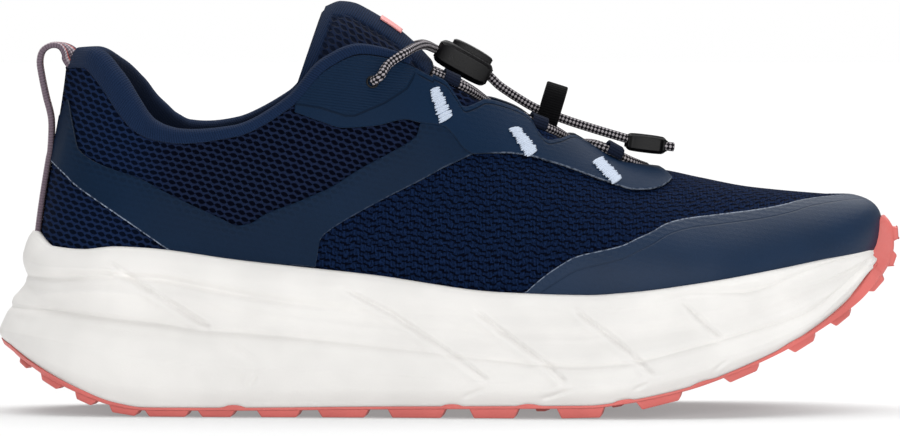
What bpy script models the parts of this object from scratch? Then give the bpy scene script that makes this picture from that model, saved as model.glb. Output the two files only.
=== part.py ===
"""Low-top trail running sneaker for the right foot, standing empty and unbent on its sole.

+X points to the toe, -Y to the outer (lateral) side, +Z up. The origin is on the floor under the
middle of the shoe. Sizes here are in millimetres; every solid is made in metres.
"""

import math

import bmesh
import bpy
import numpy as np

MM = 0.001
GAP = 0.3
UP = np.array([0.0, 0.0, 1.0])


class Table:
    """Rows under named columns, each column read as a smooth curve over the first one."""

    def __init__(self, names, rows):
        self.columns = dict(zip(names.split(), np.array(rows, float).T))
        self.key = next(iter(self.columns.values()))

    def at(self, name, where):
        keys, values = self.key, self.columns[name]
        steep = np.diff(values) / np.diff(keys)
        before, after = steep[:-1], steep[1:]
        same = before * after > 0
        mean = np.where(same, 2 * before * after / np.where(same, before + after, 1), 0)
        slopes = np.r_[steep[0], mean, steep[-1]]
        where = np.clip(where, keys[0], keys[-1])
        left = np.clip(np.searchsorted(keys, where) - 1, 0, len(keys) - 2)
        span = keys[left + 1] - keys[left]
        u = (where - keys[left]) / span
        return (
            values[left] * (1 + 2 * u) * (1 - u) ** 2
            + slopes[left] * span * u * (1 - u) ** 2
            + values[left + 1] * u**2 * (3 - 2 * u)
            + slopes[left + 1] * span * u**2 * (u - 1)
        )


# Sole: plan outline of its widest level, and the lines of its side view
HEEL_X, TOE_X = -143.5, 138.0
HEEL_ROUND, TOE_ROUND = 6.0, 5.0
SOLE_SIDES = Table(
    "x lateral medial axis",
    [
        (-144, 44.0, 42.0, 0.0),
        (-100, 45.0, 43.0, 0.0),
        (-60, 46.5, 41.0, 0.0),
        (-20, 49.0, 39.0, 0.0),
        (20, 53.5, 42.0, 0.3),
        (55, 56.5, 49.0, 1.4),
        (85, 55.0, 54.0, 3.4),
        (110, 50.0, 53.0, 6.2),
        (139, 44.0, 48.0, 9.5),
    ],
)
SOLE_LINES = Table(
    "x foot lip bed depth",
    [
        (-139, 19.6, 63.0, 41.0, 2.2),
        (-133, 16.4, 59.6, 40.0, 2.6),
        (-127, 12.8, 56.0, 39.4, 3.0),
        (-117, 8.2, 55.0, 38.8, 3.4),
        (-106, 5.4, 55.5, 38.2, 3.8),
        (-96, 4.2, 55.0, 37.6, 4.2),
        (-66, 4.2, 51.2, 35.6, 4.2),
        (-25, 4.2, 46.6, 31.8, 4.2),
        (16, 4.2, 41.0, 28.2, 4.2),
        (44, 4.2, 40.0, 27.2, 4.2),
        (58, 5.8, 41.0, 27.8, 3.6),
        (78, 10.4, 43.6, 30.4, 3.0),
        (98, 18.6, 46.7, 34.8, 3.2),
        (118, 29.6, 50.4, 41.4, 3.2),
        (129, 38.0, 52.2, 45.4, 3.2),
        (138, 47.6, 54.0, 49.0, 3.2),
    ],
)
MIDSOLE_WALL = Table(
    "height heel side toe",
    [
        (0.00, 5.4, 3.6, 3.6),
        (0.09, 2.0, 0.9, 1.8),
        (0.20, 0.0, 0.0, 0.6),
        (0.41, 2.4, 0.8, 0.2),
        (0.50, 4.8, 2.6, 0.8),
        (0.62, 7.8, 4.4, 1.4),
        (0.73, 7.4, 3.4, 1.2),
        (0.85, 7.0, 3.4, 1.4),
        (0.94, 8.0, 4.6, 2.0),
        (1.00, 10.2, 6.4, 2.8),
    ],
)
HEEL_SHARE, TOE_SHARE = 0.17, 0.80
RIM_SIDE, RIM_TOE = 2.4, 1.2

# Upper: top edge of each column of the last, and the handles that bend the column.
# The first and last rows mirror their neighbours, so that heel and toe are round.
WALL = 2.2
BITE = 1.0
THROAT_SHARE = 0.75
UPPER_COLUMNS = Table(
    "share x y z base_up base_out top_reach top_lean",
    [
        (-0.05, -116.3, -16.0, 110.2, 18.0, -1.0, 16.0, 6.0),
        (0.00, -122.6, 0.0, 109.8, 18.0, -2.0, 16.0, 6.0),
        (0.05, -116.3, 16.0, 110.2, 18.0, -1.0, 16.0, 6.0),
        (0.085, -110.5, 23.0, 104.8, 16.0, 0.0, 15.0, 6.0),
        (0.12, -104.5, 27.5, 95.6, 13.0, 0.5, 12.0, 6.0),
        (0.16, -96.5, 30.5, 88.6, 11.0, 1.0, 11.0, 6.0),
        (0.21, -85.0, 32.8, 86.8, 10.0, 1.2, 10.0, 8.0),
        (0.27, -68.0, 33.8, 88.6, 11.0, 1.2, 12.0, 10.0),
        (0.33, -50.0, 33.0, 98.2, 16.0, 1.2, 15.0, 12.0),
        (0.375, -38.5, 31.5, 110.2, 20.0, 1.4, 18.0, 14.0),
        (0.42, -28.0, 30.0, 114.6, 23.0, 1.6, 20.0, 17.0),
        (0.46, -17.0, 27.5, 112.7, 23.0, 1.8, 20.0, 21.0),
        (0.50, -6.0, 25.0, 107.3, 23.0, 2.0, 20.0, 26.0),
        (0.56, 12.0, 21.5, 98.0, 21.0, 2.4, 19.0, 38.0),
        (0.63, 36.0, 17.0, 87.0, 18.0, 2.6, 19.0, 56.0),
        (0.70, 57.0, 9.5, 78.0, 16.0, 2.6, 20.0, 78.0),
        (0.75, 67.0, 0.0, 76.4, 15.0, 2.6, 21.0, 88.0),
        (0.81, 78.0, 0.0, 73.6, 14.0, 2.8, 21.0, 89.0),
        (0.88, 92.0, 0.0, 71.0, 14.0, 3.4, 21.0, 89.0),
        (1.00, 112.0, 0.0, 69.0, 15.0, 4.6, 21.0, 89.0),
        (1.12, 92.0, 0.0, 71.0, 14.0, 3.4, 21.0, 89.0),
    ],
)
MEDIAL_RISE = Table(
    "share rise",
    [
        (0.000, 0.0),
        (0.050, 0.4),
        (0.100, 2.6),
        (0.155, 5.6),
        (0.200, 3.0),
        (0.260, 0.0),
        (1.000, 0.0),
    ],
)

# Collar: height of its roll over the top edge, thickness inside the wall, how low the lining hangs
COLLAR_END = 0.475
COLLAR = Table(
    "share roll pad low",
    [
        (0.00, 6.0, 6.0, 0.50),
        (0.06, 6.0, 6.0, 0.48),
        (0.12, 6.0, 6.0, 0.36),
        (0.20, 4.2, 5.0, 0.30),
        (0.30, 3.2, 3.6, 0.40),
        (0.38, 3.6, 2.4, 0.62),
        (0.44, 3.2, 1.8, 0.70),
        (0.50, 2.6, 1.2, 0.80),
    ],
)

# Films on the upper: lower and upper edges in side view, and the stations that they cover
FILM_LIFT, FILM, FILM_FOOT = 0.5, 0.8, 0.07
QUARTER_EDGES = Table(
    "x low high",
    [
        (-127.0, 82.0, 103.0),
        (-121.5, 77.4, 102.7),
        (-119.5, 75.4, 94.1),
        (-117.5, 73.4, 86.1),
        (-111.8, 68.8, 81.9),
        (-105.4, 63.7, 79.4),
        (-98.0, 58.2, 77.0),
        (-91.7, 52.0, 73.6),
        (-86.0, 40.0, 70.7),
        (-72.2, 40.0, 64.3),
        (-67.0, 40.0, 62.1),
        (-62.6, 40.0, 63.0),
        (-58.4, 40.0, 65.6),
        (-47.8, 40.0, 69.8),
        (-43.5, 40.0, 71.6),
        (-41.0, 57.6, 72.7),
        (-38.2, 60.4, 73.9),
        (-28.6, 66.4, 80.0),
        (-18.7, 71.7, 85.4),
        (-12.0, 75.1, 89.3),
        (-8.0, 77.1, 92.0),
        (-2.4, 80.2, 93.1),
        (5.0, 83.4, 85.6),
    ],
)
QUARTER_RANGE = (0.0, 0.53)
EYESTAY_EDGES = Table(
    "x low high",
    [
        (-52.0, 99.4, 99.8),
        (-47.5, 97.9, 105.0),
        (-41.4, 95.7, 130.0),
        (-33.4, 93.4, 130.0),
        (-23.8, 94.1, 130.0),
        (-14.2, 96.0, 130.0),
        (-9.8, 95.0, 112.0),
        (-5.0, 94.4, 109.6),
        (-1.8, 93.5, 107.8),
        (1.1, 90.6, 103.7),
        (4.3, 87.2, 99.6),
        (7.5, 85.6, 100.5),
        (10.7, 85.0, 101.8),
        (17.1, 85.0, 100.2),
        (25.1, 84.0, 95.7),
        (27.4, 83.4, 91.5),
        (30.9, 82.3, 88.6),
        (34.4, 81.1, 89.0),
        (37.9, 79.9, 89.9),
        (47.8, 76.2, 86.1),
        (53.0, 74.4, 81.9),
        (58.0, 73.1, 79.4),
        (65.0, 73.6, 80.0),
    ],
)
EYESTAY_RANGE = (0.335, 0.715)
RAND_EDGES = Table(
    "x low high",
    [
        (24.0, 30.0, 41.0),
        (26.7, 30.0, 43.5),
        (32.5, 30.0, 48.0),
        (40.2, 30.0, 52.2),
        (46.9, 30.0, 53.8),
        (56.2, 30.0, 56.0),
        (62.9, 30.0, 58.9),
        (68.3, 30.0, 62.1),
        (73.8, 30.0, 63.4),
        (81.8, 30.0, 64.3),
        (97.1, 30.0, 65.9),
        (109.3, 30.0, 67.8),
        (118.6, 30.0, 70.0),
        (126.0, 30.0, 72.0),
    ],
)
RAND_FROM = 0.575
RAND_TOE_ROW = 0.68

# Tongue: middle line of its inner face, half width and drop of its arch, thickness, lean of the drop
TONGUE = Table(
    "share x z half drop thick lean",
    [
        (0.00, 62.0, 67.8, 9.0, 2.5, 2.0, 0.0),
        (0.20, 42.0, 74.8, 15.0, 6.0, 2.2, 2.0),
        (0.40, 20.0, 84.8, 19.0, 10.0, 2.4, 4.0),
        (0.56, 3.0, 94.3, 21.0, 14.0, 2.6, 6.0),
        (0.65, -6.0, 100.1, 22.0, 17.0, 3.4, 8.0),
        (0.71, -12.0, 104.9, 22.5, 19.0, 9.4, 10.0),
        (0.82, -22.0, 112.9, 23.0, 22.0, 10.6, 14.0),
        (0.94, -34.0, 122.3, 23.5, 24.0, 9.0, 18.0),
        (0.98, -38.5, 125.5, 23.5, 24.5, 6.4, 20.0),
        (1.00, -41.0, 127.1, 23.5, 25.0, 2.4, 21.0),
    ],
)
TONGUE_SPREAD = math.radians(75)
TONGUE_EDGE = 1.8
LABEL_ALONG, LABEL_ACROSS = (0.76, 0.86), math.radians(38)

# Lace: round cord through three loops on each side, its top eyelet and its tail
CORD = 1.4
LOOP_STOPS = Table(
    "loop x y z x2 y2 z2",
    [
        (1, -6.5, 21.4, 111.4, 6.0, 18.8, 106.2),
        (2, 22.6, 16.6, 97.0, 32.0, 14.6, 93.2),
        (3, 46.6, 10.2, 87.4, 56.6, 7.2, 81.8),
    ],
)
LACE_FRONT, LACE_SAG = (62.4, 78.8), 3.0
EYELET = (-25.0, 107.5)
RUN_X = (-19.6, -14.4, -11.0, -8.0, -4.6)
RUN_Y = (32.6, 30.0, 22.0, 12.0, 3.0)
RUN_Z = (111.0, 114.6, 116.4, 116.8, 115.4)
TAIL_X = (13.6, 16.2, 22.6, 28.0, 37.0, 45.0, 55.0)
TAIL_Z = (105.8, 103.4, 99.2, 96.2, 92.8, 90.2, 87.2)
TAIL_APART = 1.75
TOGGLE_AT, TOGGLE_TILT = (4.2, 0.0, 111.0), math.radians(29)
TOGGLE_SIZE, BUTTON_SIZE = (17.0, 11.5, 6.6), (15.0, 9.0, 2.2)
CLIP_AT, CLIP_TILT = (62.6, 0.0, 85.2), math.radians(7)
CLIP_SIZE = (13.6, 8.0, 5.8)
KEEPER_X, KEEPER_LOW, KEEPER_HIGH = 32.6, 88.0, 103.8
KEEPER_WIDTH, KEEPER_REACH = 7.0, 4.2
LOOP_WIDTH, WEBBING = 4.2, 0.9

# Heel loop: where the strip leaves the heel, and its free turn in side view
STRIP_WIDTH, STRIP = 11.0, 1.2
STRIP_ROWS = (0.06, 0.5)
LOOP_TURN = (
    (-128.2, 97.0),
    (-129.6, 105.0),
    (-130.8, 111.0),
    (-130.0, 115.4),
    (-127.6, 117.6),
    (-125.0, 117.2),
    (-123.6, 114.6),
    (-124.0, 111.8),
)

# Outsole: rubber under the foam, raised over the toe, and its lugs
PLATE = 1.3
SIDE_HEIGHT = 0.03
BUMPER_FROM, BUMPER_FULL, BUMPER_UNDER = 0.92, 0.99, 6.0
BUMPER_SIDE, BUMPER_TOP, BUMPER_OUT, BUMPER = 0.62, 1.95, 2.8, 4.9
EDGE_LUGS = Table(
    "x half",
    [
        (-128, 4.0),
        (-117, 4.0),
        (-105, 4.8),
        (-91, 5.5),
        (-75, 5.8),
        (-58, 6.0),
        (-39, 7.6),
        (-14, 9.6),
        (14, 8.2),
        (41, 7.4),
        (66, 7.0),
        (90, 4.6),
        (109, 4.0),
        (119, 3.2),
        (126.5, 2.4),
    ],
)
LUG_DEEP, LUG_SLANT, LUG_TAPER, MEDIAL_SHIFT = 17.0, 0.35, 0.9, 3.0
MIDDLE_LUGS = np.arange(-98, 100, 24.0)
MIDDLE_LUG = (6.0, 9.0)


class Ring:
    """Stations round the sole: middle of the heel, lateral side to the toe, medial side back."""

    def __init__(self, half_count):
        dense = 1500
        angle = np.linspace(0, math.pi, dense)
        middle, half = (HEEL_X + TOE_X) / 2, (TOE_X - HEEL_X) / 2
        x = middle - half * np.cos(angle)
        ends = np.where(x < 0, np.abs(x / HEEL_X) ** HEEL_ROUND, np.abs(x / TOE_X) ** TOE_ROUND)
        ends = np.sqrt(np.clip(1 - ends, 0, 1))
        axis = SOLE_SIDES.at("axis", x)
        lateral = np.column_stack([x, axis - SOLE_SIDES.at("lateral", x) * ends])
        medial = np.column_stack([x, axis + SOLE_SIDES.at("medial", x) * ends])
        loop = np.vstack([lateral, medial[-2:0:-1]])
        tangent = np.roll(loop, -1, axis=0) - np.roll(loop, 1, axis=0)
        tangent /= np.linalg.norm(tangent, axis=1)[:, None]
        outward = np.column_stack([tangent[:, 1], -tangent[:, 0]])
        share = np.linspace(0, 1, half_count + 1)
        self.count = 2 * half_count
        self.plan, self.normal = [], []
        for rows in (np.arange(dense), np.r_[0, np.arange(len(loop) - 1, dense - 2, -1)]):
            run = np.r_[0, np.cumsum(np.linalg.norm(np.diff(loop[rows], axis=0), axis=1))]
            where = share * run[-1]
            for made, source in ((self.plan, loop), (self.normal, outward)):
                made.append(np.column_stack([np.interp(where, run, source[rows, k]) for k in (0, 1)]))
        self.plan = self.around(self.plan)
        self.normal = self.around(self.normal)
        self.normal /= np.linalg.norm(self.normal, axis=1)[:, None]
        self.share = np.r_[share, share[-2:0:-1]]
        self.side = np.where(np.arange(self.count) <= half_count, -1.0, 1.0)

    @staticmethod
    def around(halves):
        return np.vstack([halves[0], halves[1][-2:0:-1]])

    def inset(self, distance):
        return self.plan - self.normal * np.reshape(distance, (-1, 1))

    def blend(self, heel, side, toe):
        """A size that changes from heel to sides to toe."""
        at_heel = 1 - smooth_step(self.share / HEEL_SHARE)
        at_toe = smooth_step((self.share - TOE_SHARE) / (1 - TOE_SHARE))
        return heel * at_heel + toe * at_toe + side * (1 - at_heel - at_toe)


def smooth_step(u):
    u = np.clip(u, 0, 1)
    return u * u * (3 - 2 * u)


def points(plan, height):
    return np.column_stack([plan, np.broadcast_to(height, len(plan))])


def unit(vectors):
    return vectors / np.maximum(np.linalg.norm(vectors, axis=-1, keepdims=True), 1e-9)


# Meshes: closed solids from rings or grids of points
def new_object(name, vertices, faces, material):
    mesh = bpy.data.meshes.new(name)
    mesh.from_pydata([tuple(v) for v in np.asarray(vertices) * MM], [], faces)
    made = bmesh.new()
    made.from_mesh(mesh)
    bmesh.ops.remove_doubles(made, verts=made.verts, dist=0.01 * MM)
    bmesh.ops.recalc_face_normals(made, faces=made.faces)
    made.to_mesh(mesh)
    made.free()
    mesh.shade_smooth()
    mesh.set_sharp_from_angle(angle=math.radians(35))
    mesh.materials.append(material)
    obj = bpy.data.objects.new(name, mesh)
    bpy.context.scene.collection.objects.link(obj)
    return obj


def ring_faces(rows, count):
    """Quads between each ring and the next, as triangle pairs with one diagonal throughout."""
    faces = []
    for r in range(rows - 1):
        for i in range(count):
            a, b = r * count + i, r * count + (i + 1) % count
            faces += [(a, b, b + count), (a, b + count, a + count)]
    return faces


LADDER = 3


def ladder(ring):
    """Inner points of a fill across a ring, from each lateral station to its medial partner."""
    half = len(ring) // 2
    steps = np.linspace(0, 1, LADDER + 1)[1:-1]
    return np.vstack([ring[i] + (ring[-i] - ring[i]) * steps[:, None] for i in range(1, half)])


def ladder_faces(first, count, inner):
    """Faces of that fill: ring stations start at first, the ladder's own points at inner."""
    half = count // 2
    rows = []
    for i in range(half + 1):
        lateral, medial = first + i, first + (count - i) % count
        own = [inner + (i - 1) * (LADDER - 1) + k for k in range(LADDER - 1)]
        rows.append([lateral] * (LADDER + 1) if i in (0, half) else [lateral, *own, medial])
    faces = []
    for a, b in zip(rows, rows[1:]):
        for k in range(LADDER):
            faces += [f for f in ((a[k], a[k + 1], b[k + 1]), (a[k], b[k + 1], b[k])) if len(set(f)) == 3]
    return faces


def ring_solid(name, rings, material):
    """A solid whose skin runs through the rings, closed across the first and the last one."""
    count = len(rings[0])
    stacked = np.vstack(rings)
    first, last = ladder(rings[0]), ladder(rings[-1])
    vertices = np.vstack([stacked, first, last])
    faces = ring_faces(len(rings), count)
    faces += ladder_faces(0, count, len(stacked))
    faces += ladder_faces((len(rings) - 1) * count, count, len(stacked) + len(first))
    return new_object(name, vertices, faces, material)


def sheet_solid(name, outer, inner, material):
    """A solid between two grids of points with the same rows and columns."""
    rows, columns = outer.shape[:2]
    size = rows * columns
    vertices = np.vstack([outer.reshape(-1, 3), inner.reshape(-1, 3)])
    faces = []
    for r in range(rows - 1):
        for c in range(columns - 1):
            a = r * columns + c
            b, d, e = a + 1, a + columns, a + columns + 1
            faces += [(a, b, e), (a, e, d), (a + size, e + size, b + size), (a + size, d + size, e + size)]
    edge = [c for c in range(columns)]
    edge += [r * columns + columns - 1 for r in range(1, rows)]
    edge += [(rows - 1) * columns + c for c in range(columns - 2, -1, -1)]
    edge += [r * columns for r in range(rows - 2, 0, -1)]
    for a, b in zip(edge, edge[1:] + edge[:1]):
        faces += [(a, b, b + size), (a, b + size, a + size)]
    return new_object(name, vertices, faces, material)


def grid_normals(grid, closed):
    """Unit normals of a grid of points (rows by columns), pointing as rows cross columns."""
    if closed:
        along = np.roll(grid, -1, axis=1) - np.roll(grid, 1, axis=1)
    else:
        along = np.gradient(grid, axis=1)
    return unit(np.cross(along, np.gradient(grid, axis=0)))


def material(name, colour, roughness, metallic=0.0):
    made = bpy.data.materials.new(name)
    made.use_nodes = True
    shader = made.node_tree.nodes["Principled BSDF"]
    shader.inputs["Base Color"].default_value = (*colour, 1)
    shader.inputs["Roughness"].default_value = roughness
    shader.inputs["Metallic"].default_value = metallic
    return made


# Sole pieces
def lip_inset(ring):
    row = [MIDSOLE_WALL.columns[k][-1] for k in ("heel", "side", "toe")]
    return ring.blend(*row)


def rim_width(ring):
    return ring.blend(RIM_SIDE, RIM_SIDE, RIM_TOE)


def wall_ring(ring, height, out=0.0):
    """The midsole's side wall at a share of its height, moved outwards by a distance."""
    inset = ring.blend(*(MIDSOLE_WALL.at(k, height) for k in ("heel", "side", "toe")))
    foot_inset = ring.blend(*(MIDSOLE_WALL.columns[k][0] for k in ("heel", "side", "toe")))
    foot = SOLE_LINES.at("foot", ring.inset(foot_inset)[:, 0])
    lip = SOLE_LINES.at("lip", ring.inset(lip_inset(ring))[:, 0])
    return points(ring.inset(inset - out), foot + (lip - foot) * height)


def bed_ring(ring, inset, lift=0.0):
    plan = ring.inset(inset)
    return points(plan, SOLE_LINES.at("bed", plan[:, 0]) + lift)


def make_midsole(ring, foam):
    heights = MIDSOLE_WALL.columns["height"]
    inner = lip_inset(ring) + rim_width(ring)
    lip = wall_ring(ring, 1.0)[:, 2]
    rings = [wall_ring(ring, h) for h in heights]
    rings += [points(ring.inset(inner), lip), bed_ring(ring, inner)]
    return ring_solid("midsole", rings, foam)


def make_insole(ring, foam):
    edge = lip_inset(ring) + rim_width(ring) + GAP + WALL + 0.6
    rings = [
        bed_ring(ring, edge + 1.5, GAP),
        bed_ring(ring, edge, 2.0),
        bed_ring(ring, edge + 0.5, 5.2),
        bed_ring(ring, edge + 8.0, 4.2),
    ]
    return ring_solid("insole", rings, foam)


# Upper
def upper_columns(ring):
    """Floor, base, the two handles and top of each column of the upper's outer face."""
    inset = lip_inset(ring) + rim_width(ring) + GAP
    base = points(ring.inset(inset), wall_ring(ring, 1.0)[:, 2] - BITE)
    floor = bed_ring(ring, inset, GAP)
    at = {name: UPPER_COLUMNS.at(name, ring.share) for name in UPPER_COLUMNS.columns}
    reach = np.where(ring.share < THROAT_SHARE - 1e-6, np.maximum(at["y"], 0), 0)
    x = at["x"]
    rise = np.where(ring.side > 0, MEDIAL_RISE.at("rise", ring.share), 0)
    top = np.column_stack([x, ring.side * reach + SOLE_SIDES.at("axis", x), at["z"] + rise])
    outward = np.column_stack([base[:, :2] - top[:, :2] + 5 * ring.normal, np.zeros(ring.count)])
    outward = unit(outward)
    flat = points(ring.normal, 0)
    lean = np.radians(at["top_lean"])
    first = base + UP * at["base_up"][:, None] + flat * at["base_out"][:, None]
    second = top + (outward * np.sin(lean)[:, None] - UP * np.cos(lean)[:, None]) * at["top_reach"][:, None]
    return floor, base, first, second, top


def upper_outside(ring, rows):
    """The outer face from the sole's lip (0) to the top edge (1): points and outward normals."""
    _, base, first, second, top = upper_columns(ring)
    rows = np.reshape(rows, (len(rows), -1))
    t = np.broadcast_to(rows, (len(rows), ring.count))[..., None]
    grid = base * (1 - t) ** 3 + first * 3 * t * (1 - t) ** 2 + second * 3 * t**2 * (1 - t) + top * t**3
    normals = grid_normals(grid, closed=True)
    spine = ring.share >= THROAT_SHARE - 1e-6
    step_x, step_z = (UPPER_COLUMNS.at(k, ring.share) - UPPER_COLUMNS.at(k, ring.share - 0.01) for k in "xz")
    ridge = unit(np.column_stack([-step_z, np.zeros(ring.count), step_x]))
    at_top = np.isclose(t[..., 0], 1.0) & spine
    normals[at_top] = np.broadcast_to(ridge, normals.shape)[at_top]
    return grid, normals


UPPER_ROWS = np.linspace(0, 1, 7)


def make_upper(ring, fabric):
    """One hollow wall, open at the collar and throat above and at the sole below."""
    floor = upper_columns(ring)[0]
    grid, normals = upper_outside(ring, UPPER_ROWS)
    flat = points(ring.normal, 0)
    normals[0] = flat
    outer = [floor, *grid]
    inner = [floor - flat * WALL, *(grid - normals * WALL)]
    count, rows = ring.count, len(outer)
    vertices = np.vstack([*outer, *inner])
    size = rows * count
    skin = ring_faces(rows, count)
    faces = skin + [tuple(v + size for v in reversed(f)) for f in skin]
    top = (rows - 1) * count
    open_to = round(THROAT_SHARE * count / 2)
    for i in range(count):
        j = (i + 1) % count
        faces += [(i, i + size, j + size), (i, j + size, j)]
        if i < open_to or i >= count - open_to:
            a, b = top + i, top + j
            faces += [(a, b, b + size), (a, b + size, a + size)]
    return new_object("upper", vertices, faces, fabric)


def crossing(ring, table, name):
    """Row of each column where it passes an edge that is drawn in side view."""
    rows = np.linspace(0, 1.25, 251)
    grid, _ = upper_outside(ring, rows)
    above = grid[:, :, 2] - table.at(name, grid[:, :, 0])
    found = np.argmax(above > 0, axis=0)
    found = np.where((above > 0).any(axis=0), found, len(rows) - 1)
    low, high = above[np.maximum(found - 1, 0), range(ring.count)], above[found, range(ring.count)]
    part = np.where(found > 0, -low / np.where(high == low, 1, high - low), 0)
    return np.clip(rows[np.maximum(found - 1, 0)] + np.clip(part, 0, 1) * (rows[1] - rows[0]), 0, 1.2)


def film(name, ring, stations, low, high, rows, fabric):
    """A thin sheet over the upper's outer face between two rows of the given stations."""
    share = np.linspace(0, 1, rows)[:, None]
    every = low + (high - low) * share
    grid, normals = upper_outside(ring, every)
    grid, normals = grid[:, stations], normals[:, stations]
    return sheet_solid(name, grid + normals * (FILM_LIFT + FILM), grid + normals * FILM_LIFT, fabric)


def side_stations(ring, between, side):
    """Station numbers of one side whose share is inside a range, from heel to toe."""
    inside = (ring.share >= between[0] - 1e-6) & (ring.share <= between[1] + 1e-6)
    half = np.arange(ring.count)
    half = half[: ring.count // 2 + 1] if side < 0 else np.r_[0, half[: ring.count // 2 - 1 : -1]]
    return [i for i in half if inside[i]]


def make_films(ring, fabric):
    ends = {-1: "lateral", 1: "medial"}
    low = np.maximum(crossing(ring, QUARTER_EDGES, "low"), FILM_FOOT)
    high = crossing(ring, QUARTER_EDGES, "high")
    heel_gap = 0.025
    for side, word in ends.items():
        stations = side_stations(ring, (heel_gap, QUARTER_RANGE[1]), side)
        film("quarter_film_" + word, ring, stations, low, np.maximum(high, low + 0.01), 4, fabric)
    low = crossing(ring, EYESTAY_EDGES, "low")
    high = np.minimum(crossing(ring, EYESTAY_EDGES, "high"), np.where((ring.share < 0.51) | (ring.share > 0.67), 0.97, 1.05))
    for side, word in ends.items():
        stations = side_stations(ring, EYESTAY_RANGE, side)
        film("eyestay_" + word, ring, stations, low, np.maximum(high, low + 0.01), 4, fabric)
    high = np.minimum(crossing(ring, RAND_EDGES, "high"), RAND_TOE_ROW)
    stations = side_stations(ring, (RAND_FROM, 1), -1) + side_stations(ring, (RAND_FROM, 0.9999), 1)[::-1]
    film("toe_rand", ring, stations, np.full(ring.count, FILM_FOOT), np.maximum(high, FILM_FOOT + 0.02), 5, fabric)


def make_collar(ring, fabric):
    """Padded cuff: a roll over the upper's top edge and a lining inside it."""
    stations = side_stations(ring, (0, COLLAR_END), 1)[:0:-1] + side_stations(ring, (0, COLLAR_END), -1)
    at = {k: COLLAR.at(k, ring.share)[:, None] for k in ("roll", "pad")}
    low = COLLAR.at("low", ring.share)
    rows = np.array([low, low + (1 - low) * 0.5, low + (1 - low) * 0.85, np.ones(ring.count)])
    grid, normals = upper_outside(ring, rows)
    top, out = grid[-1], normals[-1]
    edge = unit(np.roll(top, -1, axis=0) - np.roll(top, 1, axis=0))
    up = unit(np.cross(edge, out))
    up *= np.sign(up[:, 2:])
    roll, pad = at["roll"], at["pad"] + WALL
    section = [
        top + out * 0.5 + up * GAP,
        top + out * 1.0 + up * roll * 0.3,
        top + out * 0.8 + up * roll * 0.7,
        top - out * 0.8 + up * roll * 1.0,
        top - out * pad * 0.5 + up * roll * 1.1,
        top - out * pad * 0.85 + up * roll * 0.85,
        top - out * pad + up * roll * 0.3,
        grid[2] - normals[2] * pad,
        grid[1] - normals[1] * (pad * 0.9 + 0.2),
        grid[0] - normals[0] * (WALL + GAP + 0.9),
        grid[0] - normals[0] * (WALL + GAP),
        grid[1] - normals[1] * (WALL + GAP),
        grid[2] - normals[2] * (WALL + GAP),
        top - out * (WALL + GAP) + up * GAP,
    ]
    return loft_solid("collar", np.stack(section, axis=1)[stations], fabric)


def loft_solid(name, sections, fabric):
    """A solid through closed sections (stations by points), with flat ends."""
    stations, count = sections.shape[:2]
    faces = ring_faces(stations, count)
    faces += [tuple(range(count)), tuple(range((stations - 1) * count, stations * count))]
    return new_object(name, sections.reshape(-1, 3), faces, fabric)


# Tongue
def tongue_grid(along, across):
    """Inner face of the tongue, its outward normals and its thickness."""
    along, across = np.meshgrid(along, across, indexing="ij")
    at = {k: TONGUE.at(k, along) for k in TONGUE.columns}
    lean = np.radians(at["lean"])
    drop = at["drop"] * (1 - np.cos(across)) / (1 - math.cos(TONGUE_SPREAD))
    x = at["x"] - np.sin(lean) * drop
    y = at["half"] * np.sin(across) / math.sin(TONGUE_SPREAD) + SOLE_SIDES.at("axis", at["x"])
    grid = np.stack([x, y, at["z"] - np.cos(lean) * drop], axis=-1)
    normals = grid_normals(grid, closed=False)
    normals *= np.sign(normals[:, :, 2:].mean())
    swell = np.cos(across / TONGUE_SPREAD * math.pi / 2) ** 0.8
    return grid, normals, TONGUE_EDGE + (at["thick"] - TONGUE_EDGE) * swell


def make_tongue(fabric, label):
    along = np.r_[np.linspace(0, 0.6, 5), 0.65, 0.68, 0.71, 0.77, 0.84, 0.9, 0.95, 0.98, 1.0]
    grid, normals, thick = tongue_grid(along, np.linspace(-TONGUE_SPREAD, TONGUE_SPREAD, 11))
    sheet_solid("tongue", grid + normals * thick[..., None], grid, fabric)
    grid, normals, thick = tongue_grid(np.linspace(*LABEL_ALONG, 4), np.linspace(-LABEL_ACROSS, LABEL_ACROSS, 9))
    face = grid + normals * (thick[..., None] + GAP)
    sheet_solid("tongue_label", face + normals * 0.6, face, label)


# Lace, straps and small parts
def tube(path, radius, sides):
    """Sections of a round cord along a path."""
    path = np.asarray(path, float)
    ahead = unit(np.gradient(path, axis=0))
    across = unit(np.cross(ahead, UP + 0.01))
    over = np.cross(across, ahead)
    angle = np.linspace(0, 2 * math.pi, sides, endpoint=False)
    return path[:, None] + radius * (
        np.cos(angle)[:, None] * across[:, None] + np.sin(angle)[:, None] * over[:, None]
    )


def curve_through(stops, steps):
    """A smooth path through a few places, with the given number of steps between them."""
    stops = np.asarray(stops, float)
    rows = np.arange(len(stops))
    where = np.linspace(0, len(stops) - 1, steps * (len(stops) - 1) + 1)
    slopes = np.gradient(stops, axis=0)
    left = np.minimum(where.astype(int), len(stops) - 2)
    u = (where - rows[left])[:, None]
    return (
        stops[left] * (1 + 2 * u) * (1 - u) ** 2
        + slopes[left] * u * (1 - u) ** 2
        + stops[left + 1] * u**2 * (3 - 2 * u)
        + slopes[left + 1] * u**2 * (u - 1)
    )


def loop_ends(loop, side):
    row = {k: LOOP_STOPS.at(k, loop) for k in LOOP_STOPS.columns}
    first = np.array([row["x"], side * row["y"] + SOLE_SIDES.at("axis", row["x"]), row["z"]])
    second = np.array([row["x2"], side * row["y2"] + SOLE_SIDES.at("axis", row["x2"]), row["z2"]])
    return first, second


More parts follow.
